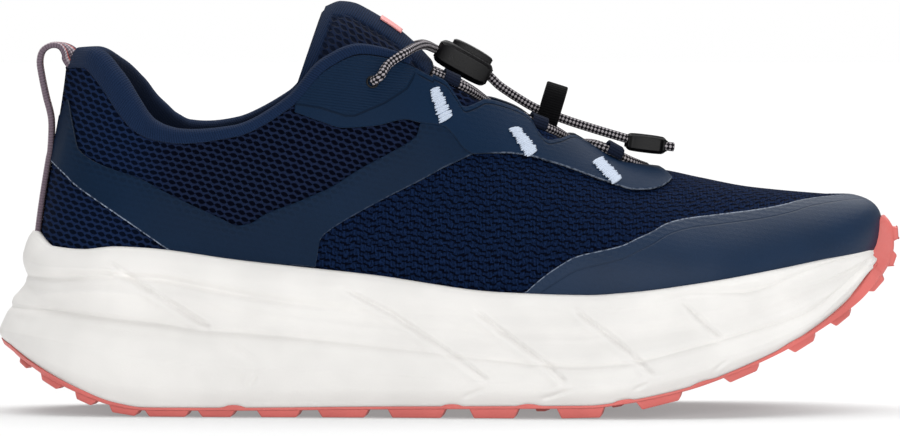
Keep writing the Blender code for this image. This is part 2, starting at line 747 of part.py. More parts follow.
def lace_path(side):
    """One run of the cord: a loop on this side, the next one opposite, and back again."""
    stops = []
    for loop, way in ((1, side), (2, -side), (3, side)):
        ends = loop_ends(loop, way)
        if stops:
            stops.append((stops[-1] + ends[0]) / 2 - LACE_SAG * UP)
        stops += ends
    x, z = LACE_FRONT
    stops.append((x, SOLE_SIDES.at("axis", x), z))
    return rounded_path(stops, 2)


def rounded_path(stops, times):
    """A path through its stops with each corner cut round."""
    path = np.asarray(stops, float)
    for _ in range(times):
        early, late = path[:-1] * 0.75 + path[1:] * 0.25, path[:-1] * 0.25 + path[1:] * 0.75
        cut = np.stack([early, late], axis=1).reshape(-1, 3)
        path = np.vstack([path[:1], cut[1:-1], path[-1:]])
    return path


def strap(name, path, across, width, thick, fabric):
    """A flat strap along a path, its width set across it."""
    path = np.asarray(path, float)
    across = unit(np.broadcast_to(np.asarray(across, float), path.shape))
    face = unit(np.cross(across, np.gradient(path, axis=0)))
    sides = np.stack([path - across * width / 2, path + across * width / 2], axis=1)
    return sheet_solid(name, sides + face[:, None] * thick / 2, sides - face[:, None] * thick / 2, fabric)


def join(obj, other):
    other.hide_render = True
    other.display_type = "WIRE"
    union = obj.modifiers.new("join " + other.name, "BOOLEAN")
    union.operation = "UNION"
    union.solver = "EXACT"
    union.object = other


def make_lace(ring, cord, webbing, black):
    lace = loft_solid("lace", tube(lace_path(-1), CORD, 6), cord)
    join(lace, loft_solid("lace_second_run", tube(lace_path(1), CORD, 6), cord))
    for side, word in ((-1, "lateral"), (1, "medial")):
        for loop in (1, 2, 3):
            first, second = loop_ends(loop, side)
            middle, ahead = (first + second) / 2, unit(second - first)
            inward = unit(np.cross(ahead, UP)) * side
            over = unit(np.cross(ahead, inward))
            over *= np.sign(over[2])
            reach = CORD + 3.6 * GAP + WEBBING / 2
            turn = np.radians(np.linspace(-60, 210, 8))
            path = [middle + reach * (inward * math.cos(a) + over * math.sin(a)) for a in turn]
            path.insert(0, path[0] - over * 3.0)
            strap(f"lace_loop_{word}_{loop}", path, ahead, LOOP_WIDTH, WEBBING, webbing)
        rows = np.linspace(0.5, 1, 40)
        grid, normals = upper_outside(ring, rows)
        grid, normals = (a[:, ring.side == side].reshape(-1, 3) for a in (grid, normals))
        eye = np.argmin(np.hypot(grid[:, 0] - EYELET[0], grid[:, 2] - EYELET[1]))
        start = grid[eye] + normals[eye] * (FILM_LIFT + FILM + GAP + CORD)
        path = [start, *np.column_stack([RUN_X, side * np.array(RUN_Y), RUN_Z])]
        loft_solid("lace_run_" + word, tube(curve_through(path, 2), CORD, 6), cord)
    place = np.column_stack([TAIL_X, np.zeros(len(TAIL_X)), TAIL_Z])
    for apart, word in ((-TAIL_APART, "near"), (TAIL_APART, "far")):
        path = curve_through(place + [0, apart, 0], 2)
        loft_solid("lace_tail_" + word, tube(path, CORD, 6), cord)
    turn = np.linspace(0, math.pi, 9)
    side = np.r_[-KEEPER_REACH, -KEEPER_REACH * np.cos(turn), KEEPER_REACH]
    arc = KEEPER_HIGH - KEEPER_REACH * (1 - np.sin(turn))
    height = np.r_[KEEPER_LOW, arc, KEEPER_LOW]
    path = np.column_stack([KEEPER_X + (height - 98) * 0.3, side, height])
    strap("lace_keeper", path, (0.95, 0, -0.3), KEEPER_WIDTH, WEBBING, black)


def block(name, size, place, tilt, edge, plastic):
    """A box with rounded edges, its length tilted down towards the toe."""
    made = bmesh.new()
    bmesh.ops.create_cube(made, size=1)
    bmesh.ops.scale(made, vec=size, verts=made.verts)
    bmesh.ops.bevel(
        made, geom=made.edges, offset=edge, segments=1, profile=0.5, affect="EDGES", material=-1
    )
    corners = np.array([v.co for v in made.verts])
    faces = [[v.index for v in f.verts] for f in made.faces]
    made.free()
    turned = np.column_stack([
        corners[:, 0] * math.cos(tilt) + corners[:, 2] * math.sin(tilt),
        corners[:, 1],
        corners[:, 2] * math.cos(tilt) - corners[:, 0] * math.sin(tilt),
    ])
    return new_object(name, turned + np.asarray(place), faces, plastic)


def make_toggle(plastic):
    block("toggle", TOGGLE_SIZE, TOGGLE_AT, TOGGLE_TILT, 1.6, plastic)
    rise = (TOGGLE_SIZE[2] + BUTTON_SIZE[2]) / 2 + GAP
    over = np.array([math.sin(TOGGLE_TILT), 0, math.cos(TOGGLE_TILT)])
    block("toggle_button", BUTTON_SIZE, np.array(TOGGLE_AT) + over * rise, TOGGLE_TILT, 0.9, plastic)
    block("lace_clip", CLIP_SIZE, CLIP_AT, CLIP_TILT, 1.2, plastic)


def make_heel_loop(ring, webbing):
    grid, normals = upper_outside(ring, np.linspace(*STRIP_ROWS, 5))
    lift = GAP + STRIP / 2
    path = [*(grid[:, 0] + normals[:, 0] * lift), *((x, 0, z) for x, z in LOOP_TURN)]
    strap("heel_loop", curve_through(path, 2), (0, 1, 0), STRIP_WIDTH, STRIP, webbing)


# Outsole
def under_ring(ring, inset, below):
    """The underside of the foam, further in by an inset and lower by a distance."""
    foot = wall_ring(ring, 0.0, -inset)
    foot[:, 2] = SOLE_LINES.at("foot", foot[:, 0]) - below
    return foot


def bumper(ring, rubber):
    """The rubber that turns up over the toe, from under the plate to its top edge."""
    stations = np.flatnonzero(ring.share >= BUMPER_FROM)
    full = smooth_step((ring.share - BUMPER_FROM) / (BUMPER_FULL - BUMPER_FROM))
    top = BUMPER_SIDE + (BUMPER_TOP - BUMPER_SIDE) * full
    thick = PLATE + (BUMPER - PLATE) * full
    low = [0.09, 0.2, 0.41]
    heights = [np.full(ring.count, h) for h in low] + [low[-1] + (top - low[-1]) * u for u in (0.4, 0.75, 1)]
    inner, outer = [under_ring(ring, BUMPER_UNDER, 0.9)], [under_ring(ring, BUMPER_UNDER, 2.6)]
    inner.append(wall_ring(ring, 0.0, 2 * GAP))
    outer.append(wall_ring(ring, 0.0, thick * 0.8) - UP * 1.6)
    for height in heights:
        out = 2 * GAP + BUMPER_OUT * smooth_step((height - low[-1]) / 0.7)
        inner.append(wall_ring(ring, height, out))
        outer.append(wall_ring(ring, height, out + thick * np.where(height < top, 1, 0.45)))
    return sheet_solid("outsole_bumper", np.stack(outer)[:, stations], np.stack(inner)[:, stations], rubber)


def make_outsole(ring, fine, rubber):
    edges = [(0.0, PLATE), (SIDE_HEIGHT, PLATE), (SIDE_HEIGHT, 0.0), (0.0, 0.0)]
    rings = [under_ring(ring, 0, GAP + PLATE)]
    rings += [wall_ring(ring, height, GAP + out) for height, out in edges]
    rings += [under_ring(ring, 0, GAP)]
    sole = ring_solid("outsole", rings, rubber)
    join(sole, bumper(fine, rubber))
    edge = wall_ring(ring, 0.0, 0.0)
    half = ring.count // 2
    lateral, medial = edge[: half + 1], edge[np.r_[0, np.arange(ring.count - 1, half - 1, -1)]]
    corners = []
    for x, reach in zip(EDGE_LUGS.columns["x"], EDGE_LUGS.columns["half"]):
        for line, side, shift in ((lateral, -1, 0.0), (medial, 1, MEDIAL_SHIFT)):
            shift = shift if x < 100 else 0
            ends = [x + shift - reach, x + shift + reach]
            outer = [(e, np.interp(e, line[:, 0], line[:, 1]) - side * 0.4) for e in ends]
            reach_y = [np.interp(ends[1], edge_line[:, 0], edge_line[:, 1]) for edge_line in (lateral, medial)]
            deep = min(LUG_DEEP, 0.36 * (reach_y[1] - reach_y[0]))
            slant = LUG_SLANT if x < 100 else 0.1
            inner = [(e + deep * slant, y - side * deep) for e, y in outer]
            corners.append([outer[0], outer[1], inner[1], inner[0]])
    for x in MIDDLE_LUGS:
        middle = (np.interp(x, lateral[:, 0], lateral[:, 1]) + np.interp(x, medial[:, 0], medial[:, 1])) / 2
        a, b = MIDDLE_LUG
        for side in (-1, 1):
            near, far = middle + side * 1.6, middle + side * (1.6 + b)
            lean = b * LUG_SLANT
            corners.append([(x - a - lean, far), (x + a - lean, far), (x + a, near), (x - a, near)])
    join(sole, lug_blocks("outsole_lugs", corners, rubber))
    return sole


def lug_blocks(name, corners, rubber):
    """Blocks from inside the plate down to the tread, narrower at the tread."""
    vertices, faces = [], []
    for four in corners:
        four = np.array(four)
        middle = four.mean(axis=0)
        small = four - unit(four - middle) * LUG_TAPER
        base = SOLE_LINES.at("foot", four[:, 0])
        first = len(vertices)
        vertices += list(points(four, base - GAP - PLATE * 0.62))
        tread = SOLE_LINES.at("foot", small[:, 0]) - SOLE_LINES.at("depth", small[:, 0])
        vertices += list(points(small, tread))
        a, b, c, d, e, f, g, h = range(first, first + 8)
        faces += [(a, b, c, d), (e, h, g, f), (a, e, f, b), (b, f, g, c), (c, g, h, d), (d, h, e, a)]
    return new_object(name, vertices, faces, rubber)


def main():
    for obj in list(bpy.data.objects):
        bpy.data.objects.remove(obj)
    ring, fine = Ring(28), Ring(56)
    make_midsole(ring, material("white_foam", (0.86, 0.85, 0.82), 0.6))
    make_outsole(ring, fine, material("coral_rubber", (0.85, 0.25, 0.2), 0.6))
    make_insole(ring, material("grey_foam", (0.1, 0.12, 0.16), 0.8))
    navy = material("navy_mesh", (0.02, 0.035, 0.08), 0.8)
    make_upper(ring, navy)
    make_collar(ring, material("navy_jersey", (0.04, 0.06, 0.12), 0.9))
    make_tongue(navy, material("coral_label", (0.85, 0.35, 0.33), 0.6))
    make_films(fine, material("navy_film", (0.045, 0.065, 0.12), 0.5))
    black = material("black_webbing", (0.01, 0.01, 0.012), 0.8)
    cord = material("grey_cord", (0.08, 0.08, 0.09), 0.8)
    make_lace(fine, cord, material("navy_webbing", (0.02, 0.03, 0.07), 0.8), black)
    make_toggle(material("black_plastic", (0.01, 0.01, 0.012), 0.35))
    make_heel_loop(fine, material("striped_webbing", (0.35, 0.25, 0.26), 0.8))


main()
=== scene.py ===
"""Looks of a low-top trail running sneaker for the right foot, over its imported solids.

+X points to the toe, -Y to the outer (lateral) side, +Z up. Sizes in the tables are millimetres.
A place on the shoe is told by "around", 0 at the middle of the heel, 1 at the toe and 2 at the heel
again by way of the medial side, and by "row", 0 at the sole's lip and 1 at the top edge.
"""

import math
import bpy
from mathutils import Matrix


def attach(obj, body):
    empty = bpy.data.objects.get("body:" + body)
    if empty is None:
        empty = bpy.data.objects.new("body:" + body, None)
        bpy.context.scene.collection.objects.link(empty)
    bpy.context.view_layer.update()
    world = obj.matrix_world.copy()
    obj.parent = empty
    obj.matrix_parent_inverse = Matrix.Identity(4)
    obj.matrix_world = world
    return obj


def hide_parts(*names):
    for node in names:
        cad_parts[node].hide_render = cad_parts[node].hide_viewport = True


bl_info = {
    "name": "Trail sneaker",
    "version": (1, 0, 0),
    "blender": (4, 5, 0),
    "location": "View3D > Sidebar > Sneaker",
    "description": "Builds a low-top trail sneaker with a quick lace, and its studio",
    "category": "Add Mesh",
}

from types import SimpleNamespace

import bmesh
import bpy
import numpy as np
from bpy.props import FloatProperty, FloatVectorProperty, PointerProperty
from mathutils import Matrix

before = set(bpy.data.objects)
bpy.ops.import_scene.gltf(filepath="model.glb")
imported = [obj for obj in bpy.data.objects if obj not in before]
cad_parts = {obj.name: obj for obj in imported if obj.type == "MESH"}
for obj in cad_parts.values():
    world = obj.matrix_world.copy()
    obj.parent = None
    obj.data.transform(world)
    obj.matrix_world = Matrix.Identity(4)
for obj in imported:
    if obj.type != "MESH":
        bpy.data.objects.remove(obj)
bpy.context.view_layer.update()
MM = 0.001
UP = np.array([0.0, 0.0, 1.0])
SIDES = {"lateral": -1, "medial": 1}


def bend(u, first, last, slope, end_slope):
    """A curve between two values that leaves and reaches them with the given slopes."""
    start = first * (1 + 2 * u) * (1 - u) ** 2 + slope * u * (1 - u) ** 2
    return start + last * u**2 * (3 - 2 * u) + end_slope * u**2 * (u - 1)


class Table:
    """Rows under named columns, each column read as a smooth curve over the first one."""

    def __init__(self, names, rows):
        self.columns = dict(zip(names.split(), np.array(rows, float).T))
        self.key = next(iter(self.columns.values()))

    def at(self, name, where):
        keys, values = self.key, self.columns[name]
        steep = np.diff(values) / np.diff(keys)
        before, after = steep[:-1], steep[1:]
        same = before * after > 0
        mean = np.where(same, 2 * before * after / np.where(same, before + after, 1), 0)
        slopes = np.r_[steep[0], mean, steep[-1]]
        where = np.clip(where, keys[0], keys[-1])
        left = np.clip(np.searchsorted(keys, where) - 1, 0, len(keys) - 2)
        span = keys[left + 1] - keys[left]
        u = (where - keys[left]) / span
        return bend(u, values[left], values[left + 1], slopes[left] * span, slopes[left + 1] * span)


# The sole's plan and side lines, as the solids have them
GAP = 0.3
HEEL_X, TOE_X, HEEL_ROUND, TOE_ROUND = -143.5, 138.0, 6.0, 5.0
SOLE_SIDES = Table(
    "x lateral medial axis",
    [
        (-144, 44.0, 42.0, 0.0), (-100, 45.0, 43.0, 0.0), (-60, 46.5, 41.0, 0.0),
        (-20, 49.0, 39.0, 0.0), (20, 53.5, 42.0, 0.3), (55, 56.5, 49.0, 1.4),
        (85, 55.0, 54.0, 3.4), (110, 50.0, 53.0, 6.2), (139, 44.0, 48.0, 9.5),
    ],
)  # fmt: skip
SOLE_LINES = Table(
    "x foot lip bed depth plate",
    [
        (-139, 19.6, 61.4, 41.0, 2.2, 0.45), (-133, 16.0, 57.2, 40.0, 2.4, 0.45),
        (-127, 12.4, 52.9, 39.4, 2.6, 0.45), (-117, 7.8, 52.2, 38.8, 2.8, 0.45),
        (-106, 4.1, 53.2, 38.2, 2.9, 0.45), (-96, 2.8, 52.8, 37.6, 2.75, 0.45),
        (-66, 2.9, 49.0, 35.6, 2.85, 0.45), (-25, 3.4, 44.6, 31.8, 3.35, 0.45),
        (16, 3.8, 39.2, 28.2, 3.75, 0.45), (44, 4.1, 38.4, 27.2, 3.9, 0.45),
        (54, 5.3, 39.0, 27.6, 3.8, 0.45), (61, 6.5, 39.6, 28.2, 3.4, 0.5),
        (76, 10.0, 41.5, 30.0, 3.1, 0.5), (91, 15.4, 43.7, 33.2, 3.0, 0.6),
        (106, 22.0, 46.2, 37.4, 3.2, 0.8), (118, 29.4, 48.4, 41.4, 3.8, 1.5),
        (126, 35.6, 49.7, 44.4, 4.4, 2.4), (130, 39.6, 50.4, 45.6, 4.8, 3.0),
        (134, 45.0, 51.2, 47.2, 5.2, 3.4), (138, 50.2, 51.9, 49.0, 5.4, 3.4),
    ],
)  # fmt: skip
MIDSOLE_WALL = Table(
    "height heel side toe",
    [
        (0.00, 5.0, 3.0, 1.8), (0.06, 1.7, 1.2, 1.3), (0.15, 0.0, 0.1, 0.8),
        (0.27, 1.0, 0.2, 0.4), (0.35, 2.3, 0.5, 0.3), (0.425, 3.6, 0.9, 0.3),
        (0.50, 6.0, 2.4, 0.8), (0.585, 7.8, 4.0, 1.2), (0.64, 7.7, 4.3, 1.4),
        (0.74, 7.2, 3.4, 1.2), (0.86, 7.9, 3.4, 1.4), (0.95, 9.0, 4.8, 1.2),
        (1.00, 10.2, 6.4, 1.2),
    ],
)  # fmt: skip
HEEL_SHARE, TOE_SHARE = 0.17, 0.80
RIM_SIDE, RIM_TOE, RIM_CROWN = 2.4, 0.7, 0.4
# Insole: room left beside the upper's lining, inset and height of its flat, and of each ring of its edge
INSOLE_ROOM, INSOLE_INSET, INSOLE_FLAT = 0.6, 8.0, 4.2
INSOLE_EDGE = ((1.5, GAP), (0.2, 1.0), (0, 2.4), (0.1, 4.4), (0.8, 5.2), (2.5, 5.0), (5, 4.6))

# Facets of the midsole's side: height of five lines along the shoe, and how far each stands out
FACETS = Table(
    "x z1 z2 z3 z4 z5 d1 d2 d3 d4 d5",
    [
        (-141, 51.6, 43.3, 36.3, 33.4, 25.8, 0.5, -0.8, 0.3, -1, 0.75),
        (-128, 47.1, 43.4, 38.4, 33, 24.5, 0.7, -0.9, 0.3, -1.2, 1.35),
        (-109, 46.5, 44.7, 39, 31.1, 21.1, 0.7, -0.8, 0.3, -1.2, 1.5),
        (-93, 45.7, 43.7, 38.4, 29.5, 18.5, 0.7, -0.8, 0.3, -1.1, 1.5),
        (-78, 43.1, 41.1, 36.4, 27.3, 16.6, 0.6, -0.7, 0.3, -1, 1.5),
        (-60, 39.9, 37.7, 32.7, 26.1, 15.3, 0.5, -0.6, 0.3, -0.9, 1.5),
        (-40, 37.1, 34.8, 30.1, 24.2, 14.8, 0.3, -0.4, 0.3, -0.7, 1.5),
        (-16, 34.8, 32.7, 27.6, 21.6, 13.5, 0.1, -0.1, 0.4, -0.6, 1.35),
        (0, 34.5, 32.4, 27.3, 19.8, 12.5, 0, 0, 0.5, -0.6, 1.35),
        (22, 34.5, 32.1, 24.5, 17.5, 11.2, 0, 0, 0.8, -0.6, 1.2),
        (40, 35.2, 32.7, 24.5, 16.3, 10.3, 0, 0, 0.8, -0.6, 1.2),
        (56, 37.1, 34.2, 27.6, 17.5, 11.6, 0, -0.1, 0.7, -0.6, 1.05),
        (77, 40.8, 39, 30.5, 22.2, 16.9, 0, -0.4, 0.6, -0.6, 0.9),
        (93, 42.1, 39.3, 34.2, 26.4, 21.3, 0.1, -0.6, 0.6, -0.6, 0.75),
        (113, 48.1, 45.3, 40.2, 32.4, 29.2, 0.1, -0.6, 0.6, -0.5, 0.6),
        (133, 52.3, 51.6, 49, 46.5, 45.6, 0, -0.3, 0.3, -0.3, 0.3),
    ],
)
# The relief fades at the foot and lip (shares of height), and at heel and toe (shares of length)
FOOT_FADE, LIP_FADE = 0.06, 0.05
HEEL_FADE_FROM, HEEL_FADE, TOE_FADE_FROM, TOE_FADE = 0.03, 0.09, 0.985, 0.05
# Grooves in the foam: their half width, then offset and half width of the ledge that each throws up
FACET_GROOVE, FACET_LEDGE, FACET_LEDGE_WIDE = 0.7, 1.7, 1.1
CREASE_GROOVE, CREASE_LEDGE, CREASE_LEDGE_WIDE = 0.65, 1.9, 1.3
CREASE_FADE_IN, CREASE_FADE_OUT = 7.0, 3.0
# Creases pressed slantwise into the foam: depth, then x and z along each
CREASES = (
    (0.9, (-110, 50.3), (-92.6, 38.7), (-75, 27.9)),
    (0.3, (-75, 27.9), (-60, 17.5)),
    (0.5, (-60, 15.3), (-64, 8.7)),
    (0.8, (-36, 41.8), (-19, 33.3), (2.4, 19.1), (12.8, 11.6)),
    (0.6, (12.0, 10.3), (3.4, 6.2)),
    (0.9, (5.6, 35.5), (19.4, 25.4), (31.2, 16.6), (37.0, 11.2)),
    (0.7, (40.2, 10.0), (28.0, 5.9)),
    (0.9, (37.0, 35.8), (51.4, 25.4), (60.0, 17.9), (64.2, 13.5)),
    (0.6, (63.2, 11.9), (56.8, 8.8)),
    (0.8, (71.2, 38.4), (80.8, 29.2), (86.6, 24.5)),
    (0.5, (88.2, 19.1), (82.4, 14.4)),
)

# The upper: top edge of each column, and the handles that bend the column
BITE, THROAT_SHARE = 1.0, 0.75
UPPER_COLUMNS = Table(
    "share x y z base_up base_out top_reach top_lean",
    [
        (-0.05, -116.3, -16.0, 110.2, 18.0, -1.0, 16.0, 6.0),
        (0.00, -122.6, 0.0, 109.8, 18.0, -2.0, 16.0, 6.0),
        (0.05, -116.3, 16.0, 110.2, 18.0, -1.0, 16.0, 6.0),
        (0.085, -110.5, 23.0, 104.8, 16.0, 0.0, 15.0, 6.0),
        (0.12, -104.5, 27.5, 96.0, 13.0, 0.5, 12.0, 6.0),
        (0.14, -100.6, 29.2, 91.4, 12.0, 0.8, 11.5, 6.0),
        (0.16, -96.2, 30.5, 88.5, 11.0, 1.0, 11.0, 6.0),
        (0.185, -90.6, 31.8, 87.0, 10.4, 1.1, 10.4, 7.0),
        (0.21, -85.0, 32.8, 86.5, 10.0, 1.2, 10.0, 8.0),
        (0.27, -68.0, 33.8, 88.6, 11.0, 1.2, 12.0, 10.0),
        (0.33, -50.0, 33.0, 98.2, 16.0, 1.2, 15.0, 12.0),
        (0.375, -38.5, 31.5, 110.2, 20.0, 1.4, 18.0, 14.0),
        (0.42, -28.0, 30.0, 114.6, 23.0, 1.6, 20.0, 17.0),
        (0.46, -17.0, 27.5, 112.7, 23.0, 1.8, 20.0, 21.0),
        (0.50, -6.0, 25.0, 107.3, 23.0, 2.0, 20.0, 26.0),
        (0.56, 12.0, 21.5, 98.0, 21.0, 2.4, 19.0, 38.0),
        (0.63, 36.0, 17.0, 87.0, 18.0, 2.6, 19.0, 56.0),
        (0.70, 57.0, 9.5, 78.0, 16.0, 2.6, 20.0, 78.0),
        (0.75, 67.0, 0.0, 77.0, 15.0, 2.6, 21.0, 88.0),
        (0.81, 78.0, 0.0, 74.6, 14.0, 2.8, 21.0, 89.0),
        (0.88, 92.0, 0.0, 71.6, 14.4, 3.4, 21.0, 89.0),
        (1.00, 112.0, 0.0, 69.2, 16.5, 5.6, 22.0, 89.0),
        (1.12, 92.0, 0.0, 71.6, 14.4, 3.4, 21.0, 89.0),
    ],
)
MEDIAL_RISE = Table(
    "share rise",
    [
        (0, 0), (0.05, 0), (0.085, 2.0), (0.11, 4.4), (0.13, 5.8), (0.155, 5.4),
        (0.18, 3.4), (0.21, 1.6), (0.25, 0.9), (0.29, 1.2), (0.34, 0.3), (0.38, 0),
        (1, 0),
    ],
)  # fmt: skip
# The vamp's closed knit starts on a slanted line through a place in side view; the heel has its own shade
VAMP_X, VAMP_Z, VAMP_SLOPE, VAMP_BLEND = -52, 58, 1.35, 8
HEEL_MESH_X, HEEL_MESH_BLEND = -82, 22
COLLAR_END = 0.475
COLLAR = Table(
    "share roll pad low bulge",
    [
        (0.00, 6.0, 6.0, 0.50, -0.45), (0.06, 5.6, 6.0, 0.48, 0.6),
        (0.12, 6.0, 6.0, 0.36, 1.0), (0.20, 4.2, 5.0, 0.30, 1.0),
        (0.30, 3.2, 3.6, 0.40, 1.0), (0.38, 3.6, 2.4, 0.62, 1.0),
        (0.44, 3.2, 1.8, 0.70, 1.0), (0.50, 2.6, 1.2, 0.80, 1.0),
    ],
)  # fmt: skip

# Films welded on the upper: lower and upper edges in side view
QUARTER_EDGES = Table(
    "x low high",
    [
        (-129.0, 81.7, 86.6), (-127.0, 80.0, 89.2), (-125.0, 78.4, 92.4), (-123.0, 76.7, 95.8),
        (-121.3, 75.2, 99.4), (-119.5, 73.4, 91.9), (-117.5, 71.8, 84.0), (-111.8, 67.9, 79.9),
        (-105.4, 63.6, 77.4), (-98.0, 58.7, 75.0), (-91.7, 54.4, 71.7), (-86.0, 50.4, 68.8),
        (-80.0, 40.0, 66.0), (-72.2, 40.0, 62.5), (-67.0, 40.0, 60.3), (-62.6, 40.0, 61.2),
        (-58.4, 40.0, 63.8), (-47.8, 40.0, 67.9), (-43.5, 40.0, 69.7), (-41.0, 55.8, 70.8),
        (-38.2, 58.6, 72.0), (-28.6, 64.5, 78.0), (-18.7, 69.8, 83.3), (-12.0, 73.1, 87.2),
        (-10.4, 73.9, 89.0), (-9.4, 74.4, 92.6), (-2.4, 78.2, 92.6), (2.0, 80.2, 88.5),
        (5.0, 81.6, 85.5), (8.0, 83.0, 84.0),
    ],
)  # fmt: skip
EYESTAY_EDGES = Table(
    "x low high",
    [
        (-52.0, 96.9, 97.3), (-47.5, 95.4, 102.5), (-41.4, 93.2, 130.0), (-33.4, 91.0, 130.0),
        (-23.8, 91.6, 130.0), (-14.2, 93.5, 130.0), (-9.8, 92.5, 109.4), (-5.0, 91.9, 107.0),
        (-1.8, 91.1, 105.2), (1.1, 88.2, 101.2), (4.3, 84.2, 97.1), (7.5, 82.5, 98.0),
        (10.7, 82.6, 99.3), (17.1, 82.6, 97.7), (25.1, 81.6, 93.2), (27.4, 81.0, 89.1),
        (30.9, 79.9, 86.2), (34.4, 78.8, 86.6), (37.9, 77.6, 87.5), (47.8, 73.9, 83.7),
        (53.0, 72.1, 79.5), (58.0, 70.8, 78.3), (62.0, 70.7, 78.0), (66.0, 71.3, 77.2),
        (69.0, 72.6, 76.4), (71.0, 74.2, 75.2), (73.0, 75.0, 75.0),
    ],
)  # fmt: skip
RAND_EDGES = Table(
    "x high",
    [
        (24.0, 39.7), (26.7, 42.2), (32.5, 46.6), (40.2, 50.8), (46.9, 52.3), (54.0, 53.9),
        (59.0, 56.1), (62.9, 57.7), (68.3, 60.5), (73.8, 61.8), (81.8, 62.7), (97.1, 64.3),
        (109.3, 66.2), (118.6, 68.3), (126.0, 70.3),
    ],
)  # fmt: skip
QUARTER_RANGE, EYESTAY_RANGE, RAND_FROM, RAND_TOE_ROW = (0.016, 0.535), (0.335, 0.745), 0.565, 0.68
QUARTER_LOW_ROW, RAND_LOW_ROW, RAND_LEAST_ROW, EYESTAY_LIFT = 0.03, 0.02, 0.024, 0.25
# Each film's look: place of its pressed line in from its upper edge, strength of the line, shade, gloss; shade is a
# painted-light factor on the one film colour, lighter on the toe film that faces up, darker on the upright quarter
# film
QUARTER_LOOK, EYESTAY_LOOK, TOE_LOOK = (0.0, 0.0, 0.88, 0.07), (1.9, 1.0, 1.0, 0.05), (4.4, 0.3, 1.2, 0.22)
# The pressed line fades in between these places along the shoe, in metres
LINE_STARTS = (-0.012, -0.009)
# Pressed panel beside the top eyelet, in side view
PRESSED = ((-50, 98.9), (-41, 97.5), (-33, 95.0), (-30, 95.0), (-20.5, 99.1), (-13.6, 103.5), (-11.0, 108.0))
# Bar tacks on the eyestay: four corners each, in side view
BAR_TACKS = (
    ((-6.8, 102.4), (-4.3, 103.3), (0.5, 94.0), (-3.3, 92.1)),
    ((18.5, 89.9), (21.3, 90.2), (27.4, 82.9), (24.2, 81.0)),
    ((44.4, 79.0), (47.6, 80.3), (54.3, 73.7), (51.4, 72.1)),
)
TACK_STITCHES, TACK_RADIUS, TACK_LIFT = 17, 0.52, 0.55

# The tongue: middle line of its inner face, half width and drop of its arch, thickness, lean
TONGUE = Table(
    "share x z half drop thick lean",
    [
        (0.00, 62.0, 67.8, 9.0, 2.5, 2.0, 0.0), (0.20, 42.0, 74.8, 15.0, 6.0, 2.2, 2.0),
        (0.40, 20.0, 84.8, 19.0, 10.0, 2.4, 4.0), (0.56, 3.0, 94.3, 21.0, 14.0, 2.6, 6.0),
        (0.65, -6.0, 100.1, 22.0, 17.0, 3.4, 8.0), (0.71, -12.0, 104.9, 22.5, 19.0, 9.4, 10.0),
        (0.82, -22.0, 112.9, 23.0, 22.0, 10.6, 12.6), (0.94, -34.0, 122.3, 23.5, 24.0, 9.0, 16.0),
        (0.98, -38.5, 125.5, 23.5, 24.5, 6.4, 17.6), (1.00, -41.0, 127.1, 23.5, 25.0, 2.4, 18.6),
    ],
)  # fmt: skip
TONGUE_SPREAD, TONGUE_EDGE = math.radians(75), 1.8
TONGUE_BORDER, TONGUE_MESH_HALF = 4.3, 15.0
LABEL_ALONG, LABEL_ACROSS = (0.82, 0.885), math.radians(11)
LABEL_THICK, LABEL_LIFT = 0.5, 0.35

# The lace: its loops on each side, the run from the top eyelet to the lock, and the tail
LOOP_STOPS = Table(
    "loop x y z x2 y2 z2",
    [
        (1, -6.0, 21.4, 108.6, 6.2, 18.8, 103.0), (2, 23.6, 16.6, 93.6, 32.4, 14.6, 90.2),
        (3, 47.2, 10.2, 85.2, 56.8, 7.2, 79.8),
    ],
)  # fmt: skip
LACE_FRONT, LACE_SAG = (62.6, 77.8), 2.4
EYELET = (-25.0, 105.3)
RUN = ((-19.6, 32.6, 111.0), (-14.4, 30.0, 114.6), (-11.0, 22.0, 116.4), (-8.0, 12.0, 116.8), (-4.6, 3.0, 115.4))
TAIL = ((13.6, 105.8), (16.2, 103.4), (22.6, 99.2), (28.0, 96.2), (37.0, 92.8), (45.0, 90.2), (55.0, 87.2))
TAIL_APART = 1.75
STUB = ((66.0, 1.0), (69.0, 1.0), (70.6, 0.9), (71.4, 0.8))
TOGGLE_AT, TOGGLE_TILT, TOGGLE_SIZE = (4.2, 0.0, 111.0), math.radians(29), (19.0, 12.0, 8.4)
BUTTON_SIZE, BUTTON_RISE, BUTTON_SHIFT = (14.0, 9.0, 2.8), 4.4, (0.8, 0, -0.4)
# Moulded blocks: how much their ends narrow and thin, and where and how deep a groove runs, as shares
END_NARROW, END_THIN, GROOVE_AT, GROOVE_HALF, GROOVE_NARROW, GROOVE_THIN = 0.22, 0.18, 0.25, 0.04, 0.12, 0.22
CLIP_AT, CLIP_TILT, CLIP_SIZE = (62.6, 0.0, 85.2), math.radians(7), (13.6, 8.0, 5.8)
KEEPER_X, KEEPER_LOW, KEEPER_HIGH, KEEPER_REACH = 32.6, 88.0, 103.8, 4.2
KEEPER_MIDDLE, KEEPER_LEAN, KEEPER_WIDTH, KEEPER_THICK = 98.0, 0.3, 7.0, 0.9
# Webbing loops: room round the cord, tab that runs under the eyestay, and turn of the strap
LOOP_ROOM, LOOP_TAB, LOOP_FROM, LOOP_TO = 0.5, 3.0, -60, 210
EYELET_RADIUS, EYELET_WIRE = 1.7, 0.4
TAPE_TWIST, TAPE_TWIST_FROM, TAPE_TWIST_OVER = math.radians(28), 0.78, 0.14
LOOP_TURN = (
    (-127.3, 93.0),
    (-129.0, 100.4),
    (-130.5, 107.8),
    (-130.9, 111.9),
    (-129.9, 115.0),
    (-127.3, 116.6),
    (-124.3, 116.4),
    (-121.9, 114.6),
    (-120.4, 111.8),
    (-118.4, 109.0),
)

